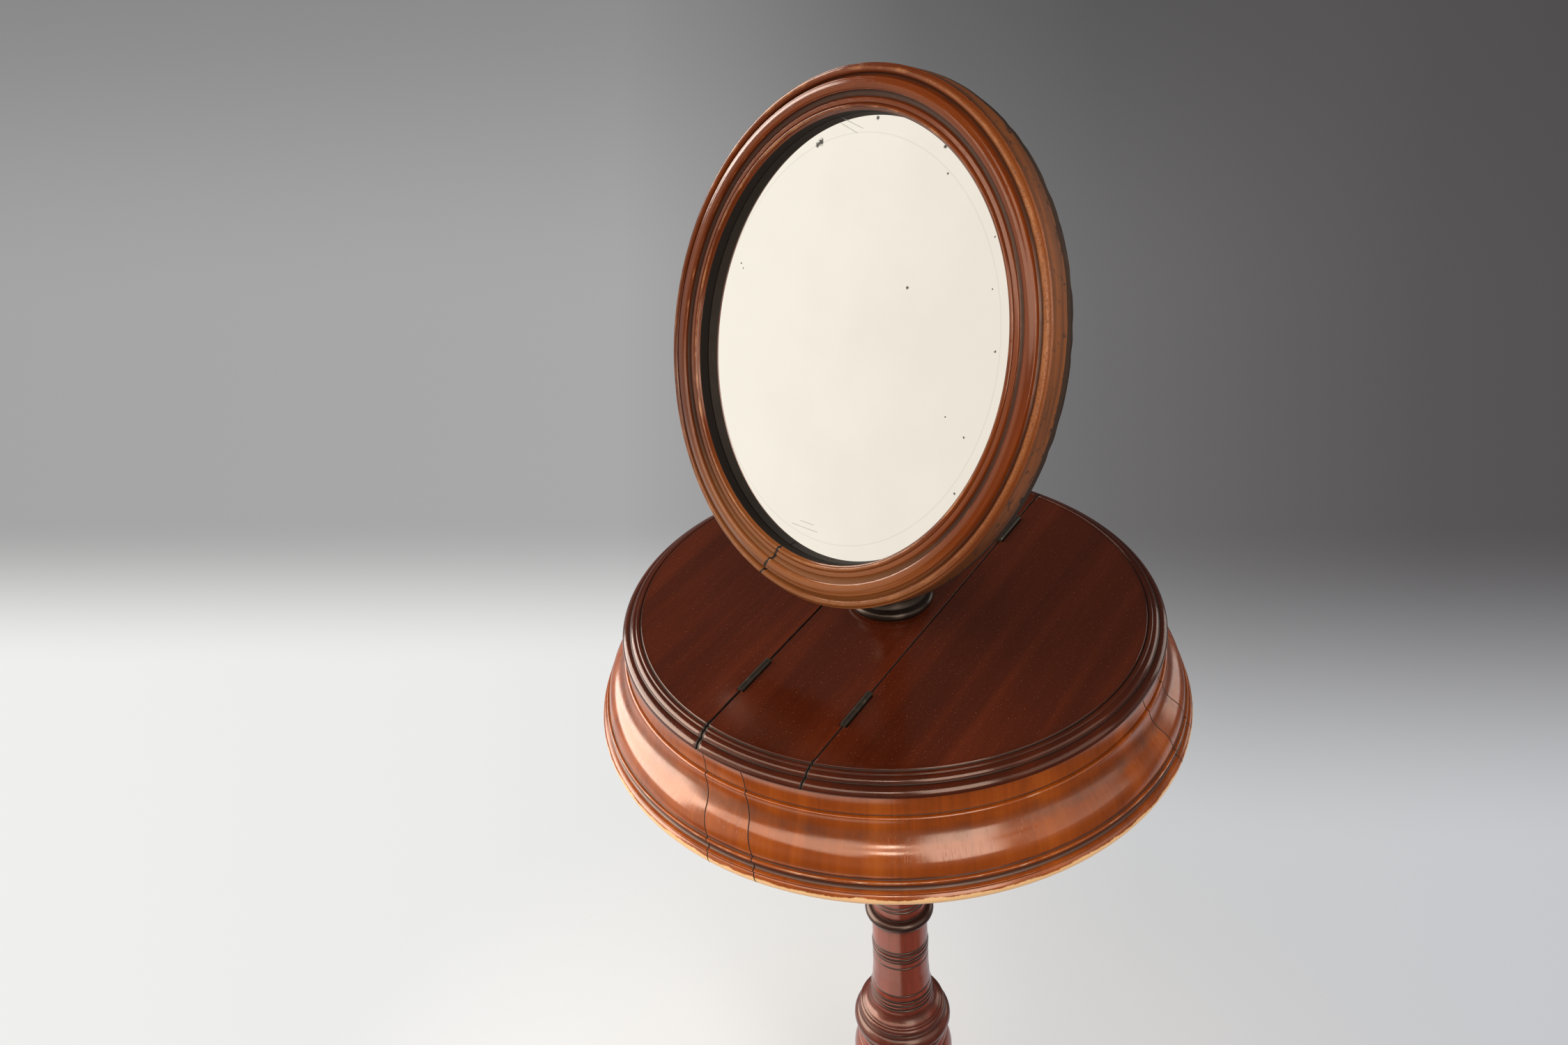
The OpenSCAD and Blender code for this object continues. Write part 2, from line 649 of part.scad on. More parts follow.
module stem() {
    top = pivot_z + socket_floor - 2;
    ferrule = top - stem_tenon_len;
    color(red_wood) difference() {
        rotate_extrude() polygon(concat(
            [[0, stem_foot_top], [stem_r, stem_foot_top], [stem_r, collar_top + side_gap],
             [stem_r + 4, collar_top + side_gap]],
            reversed(bead(stem_r + 3, 3.5, collar_top + 9, collar_top + 1)),
            [[stem_r + 1, collar_top + 10]],
            arc([stem_r + 9, collar_top + 21], 10, 230, 140, 8),
            [[stem_r + 2.4, collar_top + 29], [stem_r + 2.4, collar_top + 31], [stem_r + 1, collar_top + 32],
             [stem_r - 1.5, ferrule - 16]],
            reversed(bead(stem_r - 1.5, 3, ferrule - 9, ferrule - 15)),
            [[stem_r - 1.5, ferrule - 8], [stem_r + 0.5, ferrule - 2], [stem_r + 0.5, ferrule - fit_gap],
             [stem_tenon_r, ferrule - fit_gap], [stem_tenon_r, top - fit_gap], [0, top - fit_gap]]));
        translate([0, 0, stem_foot_top - 1])
            cylinder(h = foot_spigot_len + 2, r = foot_spigot_r + fit_gap, $fn = 48);
    }
}

module stem_foot() {
    color(brass) translate([0, 0, stem_foot_top - stem_foot_h - fit_gap]) {
        cylinder(h = stem_foot_h, r = bore_r - 2 * run_gap);
        cylinder(h = stem_foot_h + foot_spigot_len, r = foot_spigot_r, $fn = 48);
    }
}

module swivel_socket() {
    r = stem_r + 0.5;
    color(brass) translate([0, 0, pivot_z]) rotate_extrude($fn = 64) polygon(concat(
        [[stem_tenon_r + fit_gap, socket_floor - 2 - stem_tenon_len], [r, socket_floor - 2 - stem_tenon_len]],
        reversed(bead(r, 1.5, socket_floor - stem_tenon_len + 2, socket_floor - stem_tenon_len - 1, 6)),
        [[r, socket_floor]],
        reversed(bead(r - 0.5, 1.5, socket_top, socket_top - 4, 6)),
        [[swivel_pin_r + run_gap, socket_top], [swivel_pin_r + run_gap, socket_floor], [0, socket_floor],
         [0, socket_floor - 2], [stem_tenon_r + fit_gap, socket_floor - 2]]));
}

module at_swivel() {
    translate([0, 0, pivot_z]) rotate([0, 0, rest_turn]) children();
}

module swivel_fork() {
    color(brass) at_swivel() difference() {
        union() {
            translate([0, 0, fork_base_top - fork_base_h]) cylinder(h = fork_base_h, r = fork_base_r);
            translate([0, 0, fork_base_top - fork_base_h - side_gap - swivel_pin_len])
                cylinder(h = swivel_pin_len + side_gap + 1, r = swivel_pin_r);
            for (x = [-ear_out, ear_in]) {
                translate([x, 0, 0]) rotate([0, 90, 0]) cylinder(h = ear_w, r = knuckle_r);
                translate([x, -knuckle_r, fork_base_top - 1]) cube([ear_w, 2 * knuckle_r, 1 - fork_base_top]);
            }
        }
        rotate([0, 90, 0]) cylinder(h = 4 * ear_out, r = tilt_pin_r + run_gap, center = true);
    }
}

module tilt_pin() {
    head_h = 3;
    color(old_brass) at_swivel() {
        translate([-ear_out - side_gap, 0, 0]) rotate([0, 90, 0])
            cylinder(h = 2 * ear_out + 8, r = tilt_pin_r);
        translate([-ear_out - side_gap - head_h, 0, 0]) rotate([0, 90, 0])
            cylinder(h = head_h, r = tilt_pin_r + 3);
    }
}

module tilt_knob() {
    color(ebonised) at_swivel() translate([ear_out + side_gap, 0, 0]) rotate([0, 90, 0])
        turned_knob(tilt_knob_r, tilt_pin_r);
}

// Mirror, in a frame of its own: the tilt axis is X, the glass faces -Y and Z is up.
// Depth is counted back from the top of the frame's outer bead.

frame_n = 84;
back_y = -pivot_back;
glass_edge = frame_w - glass_rebate + fit_gap;
// The bevel bears on the inner corner of the frame's lip, so the flat field stands a little in front of it
glass_front = glass_in + fit_gap - bevel_d * (1 - (frame_w - glass_edge) / bevel_w);
glass_back = glass_front + glass_t;

function depth_y(d) = back_y - backboard_t - frame_d + d;

module at_mirror() {
    at_swivel() rotate([-rest_lean, 0, 0]) children();
}

// A point of the frame's oval, set in by w along its own normal
function oval_point(t, w) =
    let (n = [frame_b * cos(t), frame_a * sin(t)]) [frame_a * cos(t), frame_b * sin(t)] - w * n / norm(n);
function oval_rows(levels) = [for (l = levels, i = [0:frame_n - 1])
    let (p = oval_point(360 * i / frame_n, l[0])) [p[0], depth_y(l[1]), p[1]]];
function strip_faces(k0, k1) = [for (i = [0:frame_n - 1]) each
    let (j = (i + 1) % frame_n, a = k0 * frame_n, b = k1 * frame_n)
    [[a + i, a + j, b + j], [a + i, b + j, b + i]]];

// An oval board, as rows of [inset, depth] from its front to its back
module oval_board(levels) {
    m = len(levels);
    polyhedron(oval_rows(levels), concat(
        [[for (i = [frame_n - 1:-1:0]) i]],
        [for (k = [0:m - 2]) each strip_faces(k, k + 1)],
        [[for (i = [0:frame_n - 1]) (m - 1) * frame_n + i]]), convexity = 4);
}

// An oval ring, whose closed outline of [inset, depth] runs outward along the front and back along the rear
module oval_ring(levels) {
    m = len(levels);
    polyhedron(oval_rows(levels), [for (k = [0:m - 1]) each strip_faces(k, (k + 1) % m)], convexity = 6);
}

// Outline of the frame: the sight edge, a fillet, the wide ogee, a fillet and the outer bead
function frame_profile() = let (w = frame_w, d = frame_d, g = glass_in) concat(
    [[w, g], [w, 1.6], [w - 0.9, 0.9]],
    arc([w - 2.7, 0.7], 1.6, 330, 210, 4),
    [[w - 4.4, 0.6], [w - 4.8, -0.3], [w - 7.8, 0.2], [w - 8.1, 1.1]],
    arc([w - 10.4, -2.6], 4.4, 70, 118, 5),
    arc([w - 15.6, 2.6], 5, 312, 232, 7),
    [[w - 20.4, -0.9], [8.6, 0.2], [8.4, 1.2], [6.4, 2.8]],
    arc([3.7, 2.5], 2.5, 10, -170, 9),
    [[1.1, 3.2], [0, 3.6], [0, d - 0.6], [0.6, d], [w - glass_rebate, d], [w - glass_rebate, g]]);

module mirror_frame() {
    color(side_wood) at_mirror() difference() {
        oval_ring(frame_profile());
        backboard_screw_places() screw_hole(back_head_r, back_shank_r, back_screw_len);
    }
}

module mirror_glass() {
    color([0.90, 0.88, 0.82]) at_mirror() oval_board(
        [[glass_edge + bevel_w, glass_front], [glass_edge, glass_front + bevel_d], [glass_edge, glass_back]]);
}

module glass_blocks() {
    block = [14, frame_d - glass_back - 2 * fit_gap, 5];
    color([0.45, 0.30, 0.18]) at_mirror() for (i = [0:7])
        let (t = 45 * i + 22.5, p = oval_point(t, glass_edge + 4))
        translate([p[0], depth_y(glass_back + fit_gap), p[1]]) rotate([0, 90 - t, 0])
            translate([-block[0] / 2, 0, -block[2] / 2]) cube(block);
}

back_head_r = 2.6;
back_shank_r = 1.3;
back_screw_len = 13;
back_screw_in = 11;
back_screw_n = 8;

module backboard_screw_places() {
    for (i = [0:back_screw_n - 1]) let (p = oval_point(360 * i / back_screw_n, back_screw_in))
        translate([p[0], back_y, p[1]]) rotate([-90, 0, 0]) children();
}

module backboard() {
    color([0.20, 0.14, 0.10]) at_mirror() difference() {
        oval_board([[1.2, frame_d], [1.2, frame_d + backboard_t - 1.2], [2.4, frame_d + backboard_t]]);
        backboard_screw_places() screw_hole(back_head_r, back_shank_r, back_screw_len);
        plate_screw_places() screw_hole(plate_head_r, plate_shank_r, plate_screw_len);
    }
}

module backboard_screws() {
    color(brass) at_mirror() backboard_screw_places() screw(back_head_r, back_shank_r, back_screw_len);
}

// Brass plate on the backboard, with the middle knuckle of the tilt joint

plate_t = 3;
plate_head_r = 2.4;
plate_shank_r = 1.2;
plate_screw_len = plate_t + backboard_t - 0.6;

module plate_screw_places() {
    for (a = [45:90:315]) rotate([0, a, 0])
        translate([back_plate_r - 6, back_y + plate_t, 0]) rotate([-90, 0, 0]) children();
}

module mirror_plate() {
    color(brass) at_mirror() difference() {
        union() {
            translate([0, back_y, 0]) rotate([-90, 0, 0]) cylinder(h = plate_t, r = back_plate_r);
            rotate([0, 90, 0]) cylinder(h = knuckle_w, r = knuckle_r, center = true);
            translate([-knuckle_w / 2, back_y + 1, -knuckle_r])
                cube([knuckle_w, pivot_back - 1, 2 * knuckle_r]);
        }
        rotate([0, 90, 0]) cylinder(h = 4 * knuckle_w, r = tilt_pin_r + run_gap, center = true);
        plate_screw_places() screw_hole(plate_head_r, plate_shank_r, plate_screw_len);
    }
}

module mirror_plate_screws() {
    color(old_brass) at_mirror() plate_screw_places() screw(plate_head_r, plate_shank_r, plate_screw_len);
}

leg(0);  // leg_front
leg(120);  // leg_rear_right
leg(240);  // leg_rear_left
leg_block();
turned_drop();
column_vase();
column_shaft();
flange_screws();
case_bottom();
case_bottom_screws();
side_arc(0);  // case_side_front_right
side_arc(1);  // case_side_back_right
side_arc(2);  // case_side_back_left
side_arc(3);  // case_side_front_left
side_block(0);  // side_block_front
side_block(1);  // side_block_right
side_block(2);  // side_block_back
side_block(3);  // side_block_left
divider(-1);  // divider_left
divider(1);  // divider_right
centre_board();
collar();
guide_bush();
clamp_screw();
clamp_knob();
for (side = [-1, 1]) leaves(side, -1);  // hinge_leaves_fixed
hinge_pins();
for (side = [-1, 1]) hinge_screws(side, -1);  // hinge_screws_fixed
lid(-1);  // lid_left
leaves(-1, 1);  // hinge_leaves_left
hinge_screws(-1, 1);  // hinge_screws_left
lid(1);  // lid_right
leaves(1, 1);  // hinge_leaves_right
hinge_screws(1, 1);  // hinge_screws_right
stem();
stem_foot();
swivel_socket();
swivel_fork();
tilt_pin();
tilt_knob();
mirror_plate();
mirror_plate_screws();
mirror_frame();
mirror_glass();
glass_blocks();
backboard();
backboard_screws();
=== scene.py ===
# %% [markdown]
# # An oval swivel mirror on a round lidded case
#
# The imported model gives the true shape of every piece: a case with two lids on a turned column, and an
# oval mirror that rises, turns and tilts above it. This lesson gives the model its looks. Each visible
# wooden piece is made again as a fine surface, worked out with numpy from the same outlines as the
# solids, and each finish is a recipe of shader nodes. The solids could simply be repainted, but their
# facets would show in the polish, so only small fittings and hidden pieces keep the mesh of their solid.

import json
import math

import bmesh
import bpy
import numpy as np
from mathutils import Matrix, Vector

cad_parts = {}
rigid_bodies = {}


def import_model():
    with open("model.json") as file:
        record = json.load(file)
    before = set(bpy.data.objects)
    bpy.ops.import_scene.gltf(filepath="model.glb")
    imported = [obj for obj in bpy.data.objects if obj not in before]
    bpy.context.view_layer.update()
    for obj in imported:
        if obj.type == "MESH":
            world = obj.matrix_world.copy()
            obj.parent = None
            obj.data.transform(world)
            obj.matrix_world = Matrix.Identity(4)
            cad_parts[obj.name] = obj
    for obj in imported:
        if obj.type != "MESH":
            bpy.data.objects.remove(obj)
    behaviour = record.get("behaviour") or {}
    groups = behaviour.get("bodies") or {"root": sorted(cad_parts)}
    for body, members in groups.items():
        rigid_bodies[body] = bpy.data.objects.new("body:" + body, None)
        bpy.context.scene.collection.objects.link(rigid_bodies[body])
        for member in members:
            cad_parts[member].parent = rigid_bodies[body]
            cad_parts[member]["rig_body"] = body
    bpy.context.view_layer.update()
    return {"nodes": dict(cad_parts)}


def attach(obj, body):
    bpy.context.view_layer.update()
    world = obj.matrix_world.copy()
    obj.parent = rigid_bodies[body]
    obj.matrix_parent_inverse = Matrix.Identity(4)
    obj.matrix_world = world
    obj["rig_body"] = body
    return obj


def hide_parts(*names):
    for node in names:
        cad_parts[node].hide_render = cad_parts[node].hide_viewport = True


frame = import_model()

# %% [markdown]
# ## The sizes that the outlines share
#
# A joiner marks a few sizes on a rod and takes everything else from it. The same holds here: heights are
# in millimetres above the floor, the column's axis is Z and the front is -Y. Only SHAFT_DOWN is measured
# from the seat of the lids down to the shaft's foot. The sizes could be read off the nodes' boxes, but a
# box hides the inner steps of a moulding, so the main sizes stand here by name.

# %% Main sizes in millimetres
TOP, BOARD = 840.0, 12.0
SEAT = TOP - BOARD
EDGE_R, FLAT_R = 206.0, 190.5
CASE_H, BASE_R, CASE_IN_R = 74.2, 229.8, 188.0
BOTTOM_T, REBATE = 10.0, 8.0
HALF_STRIP, GAP_LEFT, GAP_RIGHT = 41.0, 1.4, 0.8
LEFT_JOINT, RIGHT_JOINT = HALF_STRIP + GAP_LEFT / 2, HALF_STRIP + GAP_RIGHT / 2
HINGE_Y, HINGE_LEN, BARREL_R, HINGE_Z = 127.0, 38.0, 2.9, TOP + 0.6
LEAF_T, LEAF_H = 1.2, 10.0
SHAFT_DOWN, VASE_FOOT, HUB_Z, HUB_H, HUB_R = 485.0, 216.0, 120.0, 96.0, 38.0
STEM_R, BUSH_R, COLLAR_H = 11.0, 13.65, 24.0
PIVOT_Z, TURN, LEAN = 1052.5, -14.1, 20.5
FRAME_A, FRAME_B, FRAME_W, FRAME_D = 163.0, 178.5, 29.5, 22.5
PIVOT_BACK, BOARD_BACK = 19.2, 5.0
RIM_FRONT = PIVOT_BACK + BOARD_BACK + FRAME_D

# %% [markdown]
# ## Outlines
#
# A moulding is a row of small curves: a round, a hollow, an S, a bead, a scratched groove. A plane cut
# each of them on the real object. Here each is a short array of (radius, height) points, and a whole
# outline is those arrays put end to end, which keeps a moulding readable as a list of its members.

# %% Members of a moulding
def arc(centre, r, a0, a1, n=8):
    """Points at equal steps on a circle: centre + r (cos a, sin a), with a from a0 to a1 degrees."""
    a = np.radians(np.linspace(a0, a1, n + 1))
    return np.array(centre, float) + r * np.stack([np.cos(a), np.sin(a)], 1)


def s_curve(p, q, n):
    """Two equal arcs, upright at both ends, that meet halfway: each turns by 2 atan(width / height)."""
    wide, high = q[0] - p[0], p[1] - q[1]
    phi = 2 * math.atan(wide / high)
    r = high / (2 * math.sin(phi))
    a = phi * np.linspace(0, 1, n + 1)
    upper = np.stack([p[0] + r * (1 - np.cos(a)), p[1] - r * np.sin(a)], 1)
    lower = np.stack([q[0] - r * (1 - np.cos(a)), q[1] + r * np.sin(a)], 1)[::-1]
    return np.vstack([upper, lower[1:]])


def bead(r, out, z1, z0, n=10):
    """Half a circle or ellipse on an upright face: radius r + out sin a, height running from z1 to z0."""
    a = np.linspace(0, math.pi, n + 1)
    return np.stack([r + out * np.sin(a), (z1 + z0) / 2 + (z1 - z0) / 2 * np.cos(a)], 1)


def groove(r, z, w=1.1, d=0.7):
    """A V of width w and depth d scratched into a face of radius r."""
    return np.array([[r, z + w / 2], [r - d, z], [r, z - w / 2]])


def outline(*members):
    """The members of a moulding, end to end."""
    return np.vstack([np.atleast_2d(np.array(m, float)) for m in members])


# %% [markdown]
# ## Worn corners, and how high each point stands
#
# Nothing on an old piece has a sharp corner: hands and polish have rounded each one, and that thin
# rounded line is what catches the light. A Bevel modifier could do it, but it also widens the fine steps
# of a moulding, so the outline itself is rounded. The same pass works out how far each point stands out
# from a blurred copy of the outline. That number, in millimetres, is kept on the mesh as "relief": where
# it is high the finish is painted paler, partly as rubbed polish and partly as a painted highlight, and
# where it is low it is painted darker, partly as wax and partly as painted shade.

# %% Round the corners, fill long stretches and measure relief
def rounded(points, radius, closed):
    """Each corner sharper than 22 degrees becomes a quadratic curve that leaves and meets its two sides."""
    p = points[np.r_[True, np.linalg.norm(np.diff(points, axis=0), axis=1) > 1e-6]]
    before, after = np.roll(p, 1, 0) - p, np.roll(p, -1, 0) - p
    lb, la = np.linalg.norm(before, axis=1), np.linalg.norm(after, axis=1)
    ub, ua = before / np.maximum(lb, 1e-9)[:, None], after / np.maximum(la, 1e-9)[:, None]
    turn = np.degrees(np.arccos(np.clip(-(ub * ua).sum(1), -1, 1)))
    cut = np.minimum(radius, 0.42 * np.minimum(lb, la)) * (turn > 22)
    if not closed:
        cut[[0, -1]] = 0
    t = np.linspace(0, 1, 5)[None, :, None]
    a, b = p + ub * cut[:, None], p + ua * cut[:, None]
    curve = (1 - t) ** 2 * a[:, None] + 2 * t * (1 - t) * p[:, None] + t**2 * b[:, None]
    keep = np.ones((len(p), 5), bool)
    keep[cut <= 0, 1:] = False
    return curve[keep]


def filled(points, step, closed):
    """Long stretches get extra points, so that no two neighbours are further apart than step."""
    ring = np.vstack([points, points[:1]]) if closed else points
    length = np.linalg.norm(np.diff(ring, axis=0), axis=1)
    count = np.maximum(1, np.ceil(length / step)).astype(int)
    start = np.repeat(np.arange(len(count)), count)
    share = np.concatenate([np.arange(c) / c for c in count])
    made = ring[start] * (1 - share[:, None]) + ring[start + 1] * share[:, None]
    return made if closed else np.vstack([made, points[-1:]])


BLURS = (2.2, 7.5)


def relief_of(points, closed):
    """How far each point stands outside a finely and a broadly blurred outline, in mm, and the normal."""
    step = np.linalg.norm(np.roll(points, -1, 0) - points, axis=1)
    if not closed:
        step[-1] = step[-2]
    s = np.concatenate([[0], np.cumsum(step)[:-1]])
    gap = np.abs(s[:, None] - s[None])
    if closed:
        gap = np.minimum(gap, step.sum() - gap)
    along = np.roll(points, -1, 0) - np.roll(points, 1, 0)
    if not closed:
        along[0], along[-1] = points[1] - points[0], points[-1] - points[-2]
    x, y = points.T
    area = 0.5 * np.sum(x * np.roll(y, -1) - y * np.roll(x, -1))
    normal = np.stack([along[:, 1], -along[:, 0]], 1) * (1 if area > 0 else -1)
    normal /= np.maximum(np.linalg.norm(normal, axis=1), 1e-9)[:, None]
    relief = np.zeros((len(points), 3))
    for i, blur in enumerate(BLURS):
        weight = np.exp(-((gap / blur) ** 2) / 2) * step[None]
        blurred = weight @ points / weight.sum(1)[:, None]
        relief[:, i] = ((points - blurred) * normal).sum(1)
    return relief, normal


def section(members, closed, corner, step):
    """A finished outline in mm: points, relief, distance run along it and unit normal out of the piece."""
    points = filled(rounded(np.asarray(members, float), corner, closed), step, closed)
    run = np.concatenate([[0], np.cumsum(np.linalg.norm(np.diff(points, axis=0), axis=1))])
    relief, out = relief_of(points, closed)
    return points, relief, run, out


# %% [markdown]
# ## From a grid of points to a closed mesh
#
# Every surface below is a grid: rows along the outline, columns round or along the piece. One helper
# joins neighbours into quads, adds the end faces, merges the points that meet at a pole or a seam, and
# turns the whole skin the right way out. Doing it in one place means that no single piece can come out
# open or inside out, and the printed line shows it.

# %% Grid helpers
MM = 0.001


def quads(rows, cols, wrap_rows=False, wrap_cols=False):
    """Index of the four corners of each cell of a grid whose points are counted row by row."""
    r = np.arange(rows if wrap_rows else rows - 1)[:, None]
    c = np.arange(cols if wrap_cols else cols - 1)[None]
    r1, c1 = (r + 1) % rows, (c + 1) % cols
    cells = np.stack(np.broadcast_arrays(r * cols + c, r * cols + c1, r1 * cols + c1, r1 * cols + c), -1)
    return cells.reshape(-1, 4)


def placed(name, data):
    """A new object in the scene that holds a mesh, a lamp or a camera."""
    made = bpy.data.objects.new(name, data)
    bpy.context.scene.collection.objects.link(made)
    return made


def circle(n):
    """The angles of n equal steps once round, in radians."""
    return np.linspace(0, 2 * math.pi, n, endpoint=False)


def skin(name, points, faces, caps=(), marks=None, sharp=34.0):
    """A closed mesh object in metres from points in mm, quads and end faces, smooth and turned outward."""
    points = np.asarray(points, float).reshape(-1, 3)
    mesh = bpy.data.meshes.new(name)
    mesh.from_pydata((points * MM).tolist(), [], faces.tolist() + [np.asarray(c).tolist() for c in caps])
    for mark, values in (marks or {}).items():
        values = np.asarray(values, np.float32)
        kind = "FLOAT_VECTOR" if values.ndim > 1 else "FLOAT"
        layer = mesh.attributes.new(mark, kind, "POINT")
        layer.data.foreach_set("vector" if values.ndim > 1 else "value", values.ravel())
    work = bmesh.new()
    work.from_mesh(mesh)
    bmesh.ops.remove_doubles(work, verts=work.verts, dist=2e-6)
    bmesh.ops.recalc_face_normals(work, faces=work.faces)
    open_edges = sum(1 for e in work.edges if not e.is_manifold)
    size = work.calc_volume(signed=True) * 1e6
    work.to_mesh(mesh)
    work.free()
    mesh.shade_smooth()
    mesh.set_sharp_from_angle(angle=math.radians(sharp))
    print(f"{name}: {len(mesh.polygons)} faces, {open_edges} open edges, {size:.1f} cm3")
    return placed(name, mesh)


def swept(name, grid, closed, relief=None, **marks):
    """An outline carried along a path: a row for each of its points, a column for each step of the path.
    A closed outline gets a face at each end of the path. An open one gets a single face through both
    ends, which then have to lie in one plane."""
    m, c = grid.shape[:2]
    rows = np.arange(m) * c
    ends = [rows, rows[::-1] + c - 1]
    if relief is not None:
        marks["relief"] = np.repeat(relief, c, 0)
    return skin(name, grid, quads(m, c, closed), ends if closed else [np.concatenate(ends)], marks)


def turned(name, members, n, corner=0.5, step=2.0, place=None, stain=()):
    """Work from the lathe: x = r cos a, y = r sin a, height as in the outline, with the fibres along Z.
    An outline that starts on the axis ends there too; one that starts off it is a closed ring.
    Each entry of stain is the top, the bottom and the strength of a band that the turner blackened."""
    ring = members[0][0] > 0.01
    points, relief, _, _ = section(members, ring, corner, step)
    a = circle(n)
    r, z = points[:, :1], points[:, 1:]
    grid = np.stack([r * np.cos(a), r * np.sin(a), z + 0 * a], -1)
    marks = {"relief": np.repeat(relief, n, 0), "grain": (grid * [1, 1, 1 / 22]).reshape(-1, 3)}
    if len(stain):
        height = points[:, 1]
        dark = np.max([share * ((height < high) & (height > low)) for high, low, share in stain], 0)
        marks["stain"] = np.repeat(dark, n)
    return skin(name, place(grid) if place else grid, quads(len(points), n, ring, True), (), marks)


# %% [markdown]
# ## Shader arithmetic
#
# A finish is a sum: body colour, less some dark in the hollows, plus some wear on the edges. Shader
# nodes can say that, but a page of links can't be read. So a socket is wrapped in a small class that
# turns Python's own signs into Math nodes, and a second class holds the tree and makes any other node.

# %% A socket that understands arithmetic
def sign(operation, swapped=False):
    """A method for one of Python's signs: it adds a Math node that joins the two values."""
    def method(self, other=0.0):
        first, second = (other, self) if swapped else (self, other)
        return self.recipe.node("ShaderNodeMath", {"operation": operation}, {0: first, 1: second})

    return method


class Value:
    """One output in a node tree."""

    def __init__(self, recipe, socket):
        self.recipe, self.socket = recipe, socket

    __abs__, __pow__, __truediv__ = sign("ABSOLUTE"), sign("POWER"), sign("DIVIDE")
    __add__ = __radd__ = sign("ADD")
    __mul__ = __rmul__ = sign("MULTIPLY")
    __sub__, __rsub__ = sign("SUBTRACT"), sign("SUBTRACT", swapped=True)


class Recipe:
    """The node tree of one finish."""

    def __init__(self, name, owner=None):
        self.owner = owner or bpy.data.materials.new(name)
        self.owner.use_nodes = True
        self.tree = self.owner.node_tree
        self.tree.nodes.clear()

    def node(self, kind, settings=None, sockets=None, out=0):
        """Any node: its settings first, then each socket's value or link. Gives one of its outputs."""
        made = self.tree.nodes.new(kind)
        for key, value in (settings or {}).items():
            if key == "stops":
                ramp = made.color_ramp.elements
                while len(ramp) < len(value):
                    ramp.new(1.0)
                for stop, (at, colour) in zip(ramp, value):
                    stop.position, stop.color = at, (*colour, 1.0)
            else:
                setattr(made, key, value)
        for key, value in (sockets or {}).items():
            if isinstance(value, Value):
                self.tree.links.new(value.socket, made.inputs[key])
            else:
                made.inputs[key].default_value = value
        return Value(self, made.outputs[out]) if made.outputs else None

    def smooth(self, value, low, high):
        """0 below low and 1 above high, with an S between them."""
        return self.node("ShaderNodeMapRange", {"interpolation_type": "SMOOTHSTEP"},
                         {"Value": value, "From Min": low, "From Max": high})

    def mix(self, share, a, b):
        """Colour a where share is 0, colour b laid over it by share."""
        a, b = (c if isinstance(c, Value) else (*c, 1.0) for c in (a, b))
        return self.node("ShaderNodeMix", {"data_type": "RGBA"}, {0: share, 6: a, 7: b}, 2)

    def ramp(self, share, *stops):
        return self.node("ShaderNodeValToRGB", {"stops": stops}, {"Fac": share})

    def noise(self, where, scale, detail=3.0, rough=0.5, bend=0.0):
        return self.node("ShaderNodeTexNoise", {}, {"Vector": where, "Scale": scale, "Detail": detail,
                                                    "Roughness": rough, "Distortion": bend})

    def place(self):
        """Object coordinates, in metres: they stay with a piece when it moves."""
        return self.node("ShaderNodeTexCoord", {}, {}, 3)

    def part(self, vector, i):
        """The x, y or z of a vector, for i = 0, 1 or 2."""
        return self.node("ShaderNodeSeparateXYZ", {}, {0: vector}, i)

    def stretched(self, where, factors):
        return self.node("ShaderNodeVectorMath", {"operation": "MULTIPLY"}, {0: where, 1: factors})

    def dot(self, vector, axis):
        """How far a vector reaches along an axis: the sum of the products of their parts."""
        return self.node("ShaderNodeVectorMath", {"operation": "DOT_PRODUCT"}, {0: vector, 1: tuple(axis)}, 1)

    def length(self, vector):
        return self.node("ShaderNodeVectorMath", {"operation": "LENGTH"}, {0: vector}, 1)

    def mark(self, name, vector=False):
        """What the mesh itself carries: a number by its Fac output, or a vector."""
        return self.node("ShaderNodeAttribute", {"attribute_name": name}, {}, 1 if vector else 2)

    def finish(self, bump=None, **sockets):
        """The surface itself. Underscores in a name stand for spaces, and bump is what feeds a Bump node."""
        sockets = {k.replace("_", " "): v for k, v in sockets.items()}
        if bump:
            names = ("Height", "Distance", "Strength")
            sockets["Normal"] = self.node("ShaderNodeBump", {}, dict(zip(names, bump)))
        surface = self.node("ShaderNodeBsdfPrincipled", {}, sockets)
        self.node("ShaderNodeOutputMaterial", {}, {"Surface": surface})
        return self.owner


def paint(r, g, b):
    """A colour as a screen shows it, 0 to 255, made linear for the shader."""
    c = np.array([r, g, b]) / 255
    return tuple(float(v) for v in np.where(c <= 0.04045, c / 12.92, ((c + 0.055) / 1.055) ** 2.4))


# %% [markdown]
# ## French-polished mahogany
#
# The case, the column and the frame are mahogany under an old shellac polish. Such a surface has broad
# clouds of colour, fine streaks along the fibres and tiny dark pores. Its hollows are darkened, partly as
# brown wax and partly as painted shade, and every edge gets a paler line that is partly rubbed polish and
# partly a painted highlight. A photograph could be wrapped round it, but the marks on the mesh say exactly
# where the fibres run and where the hollows are, so noise on those marks does the same on every piece.
# The polish reflects with a warm tint, since light passes through the yellowed shellac on its way.

# %% Wood
SHINE = (1.0, 0.73, 0.57, 1.0)


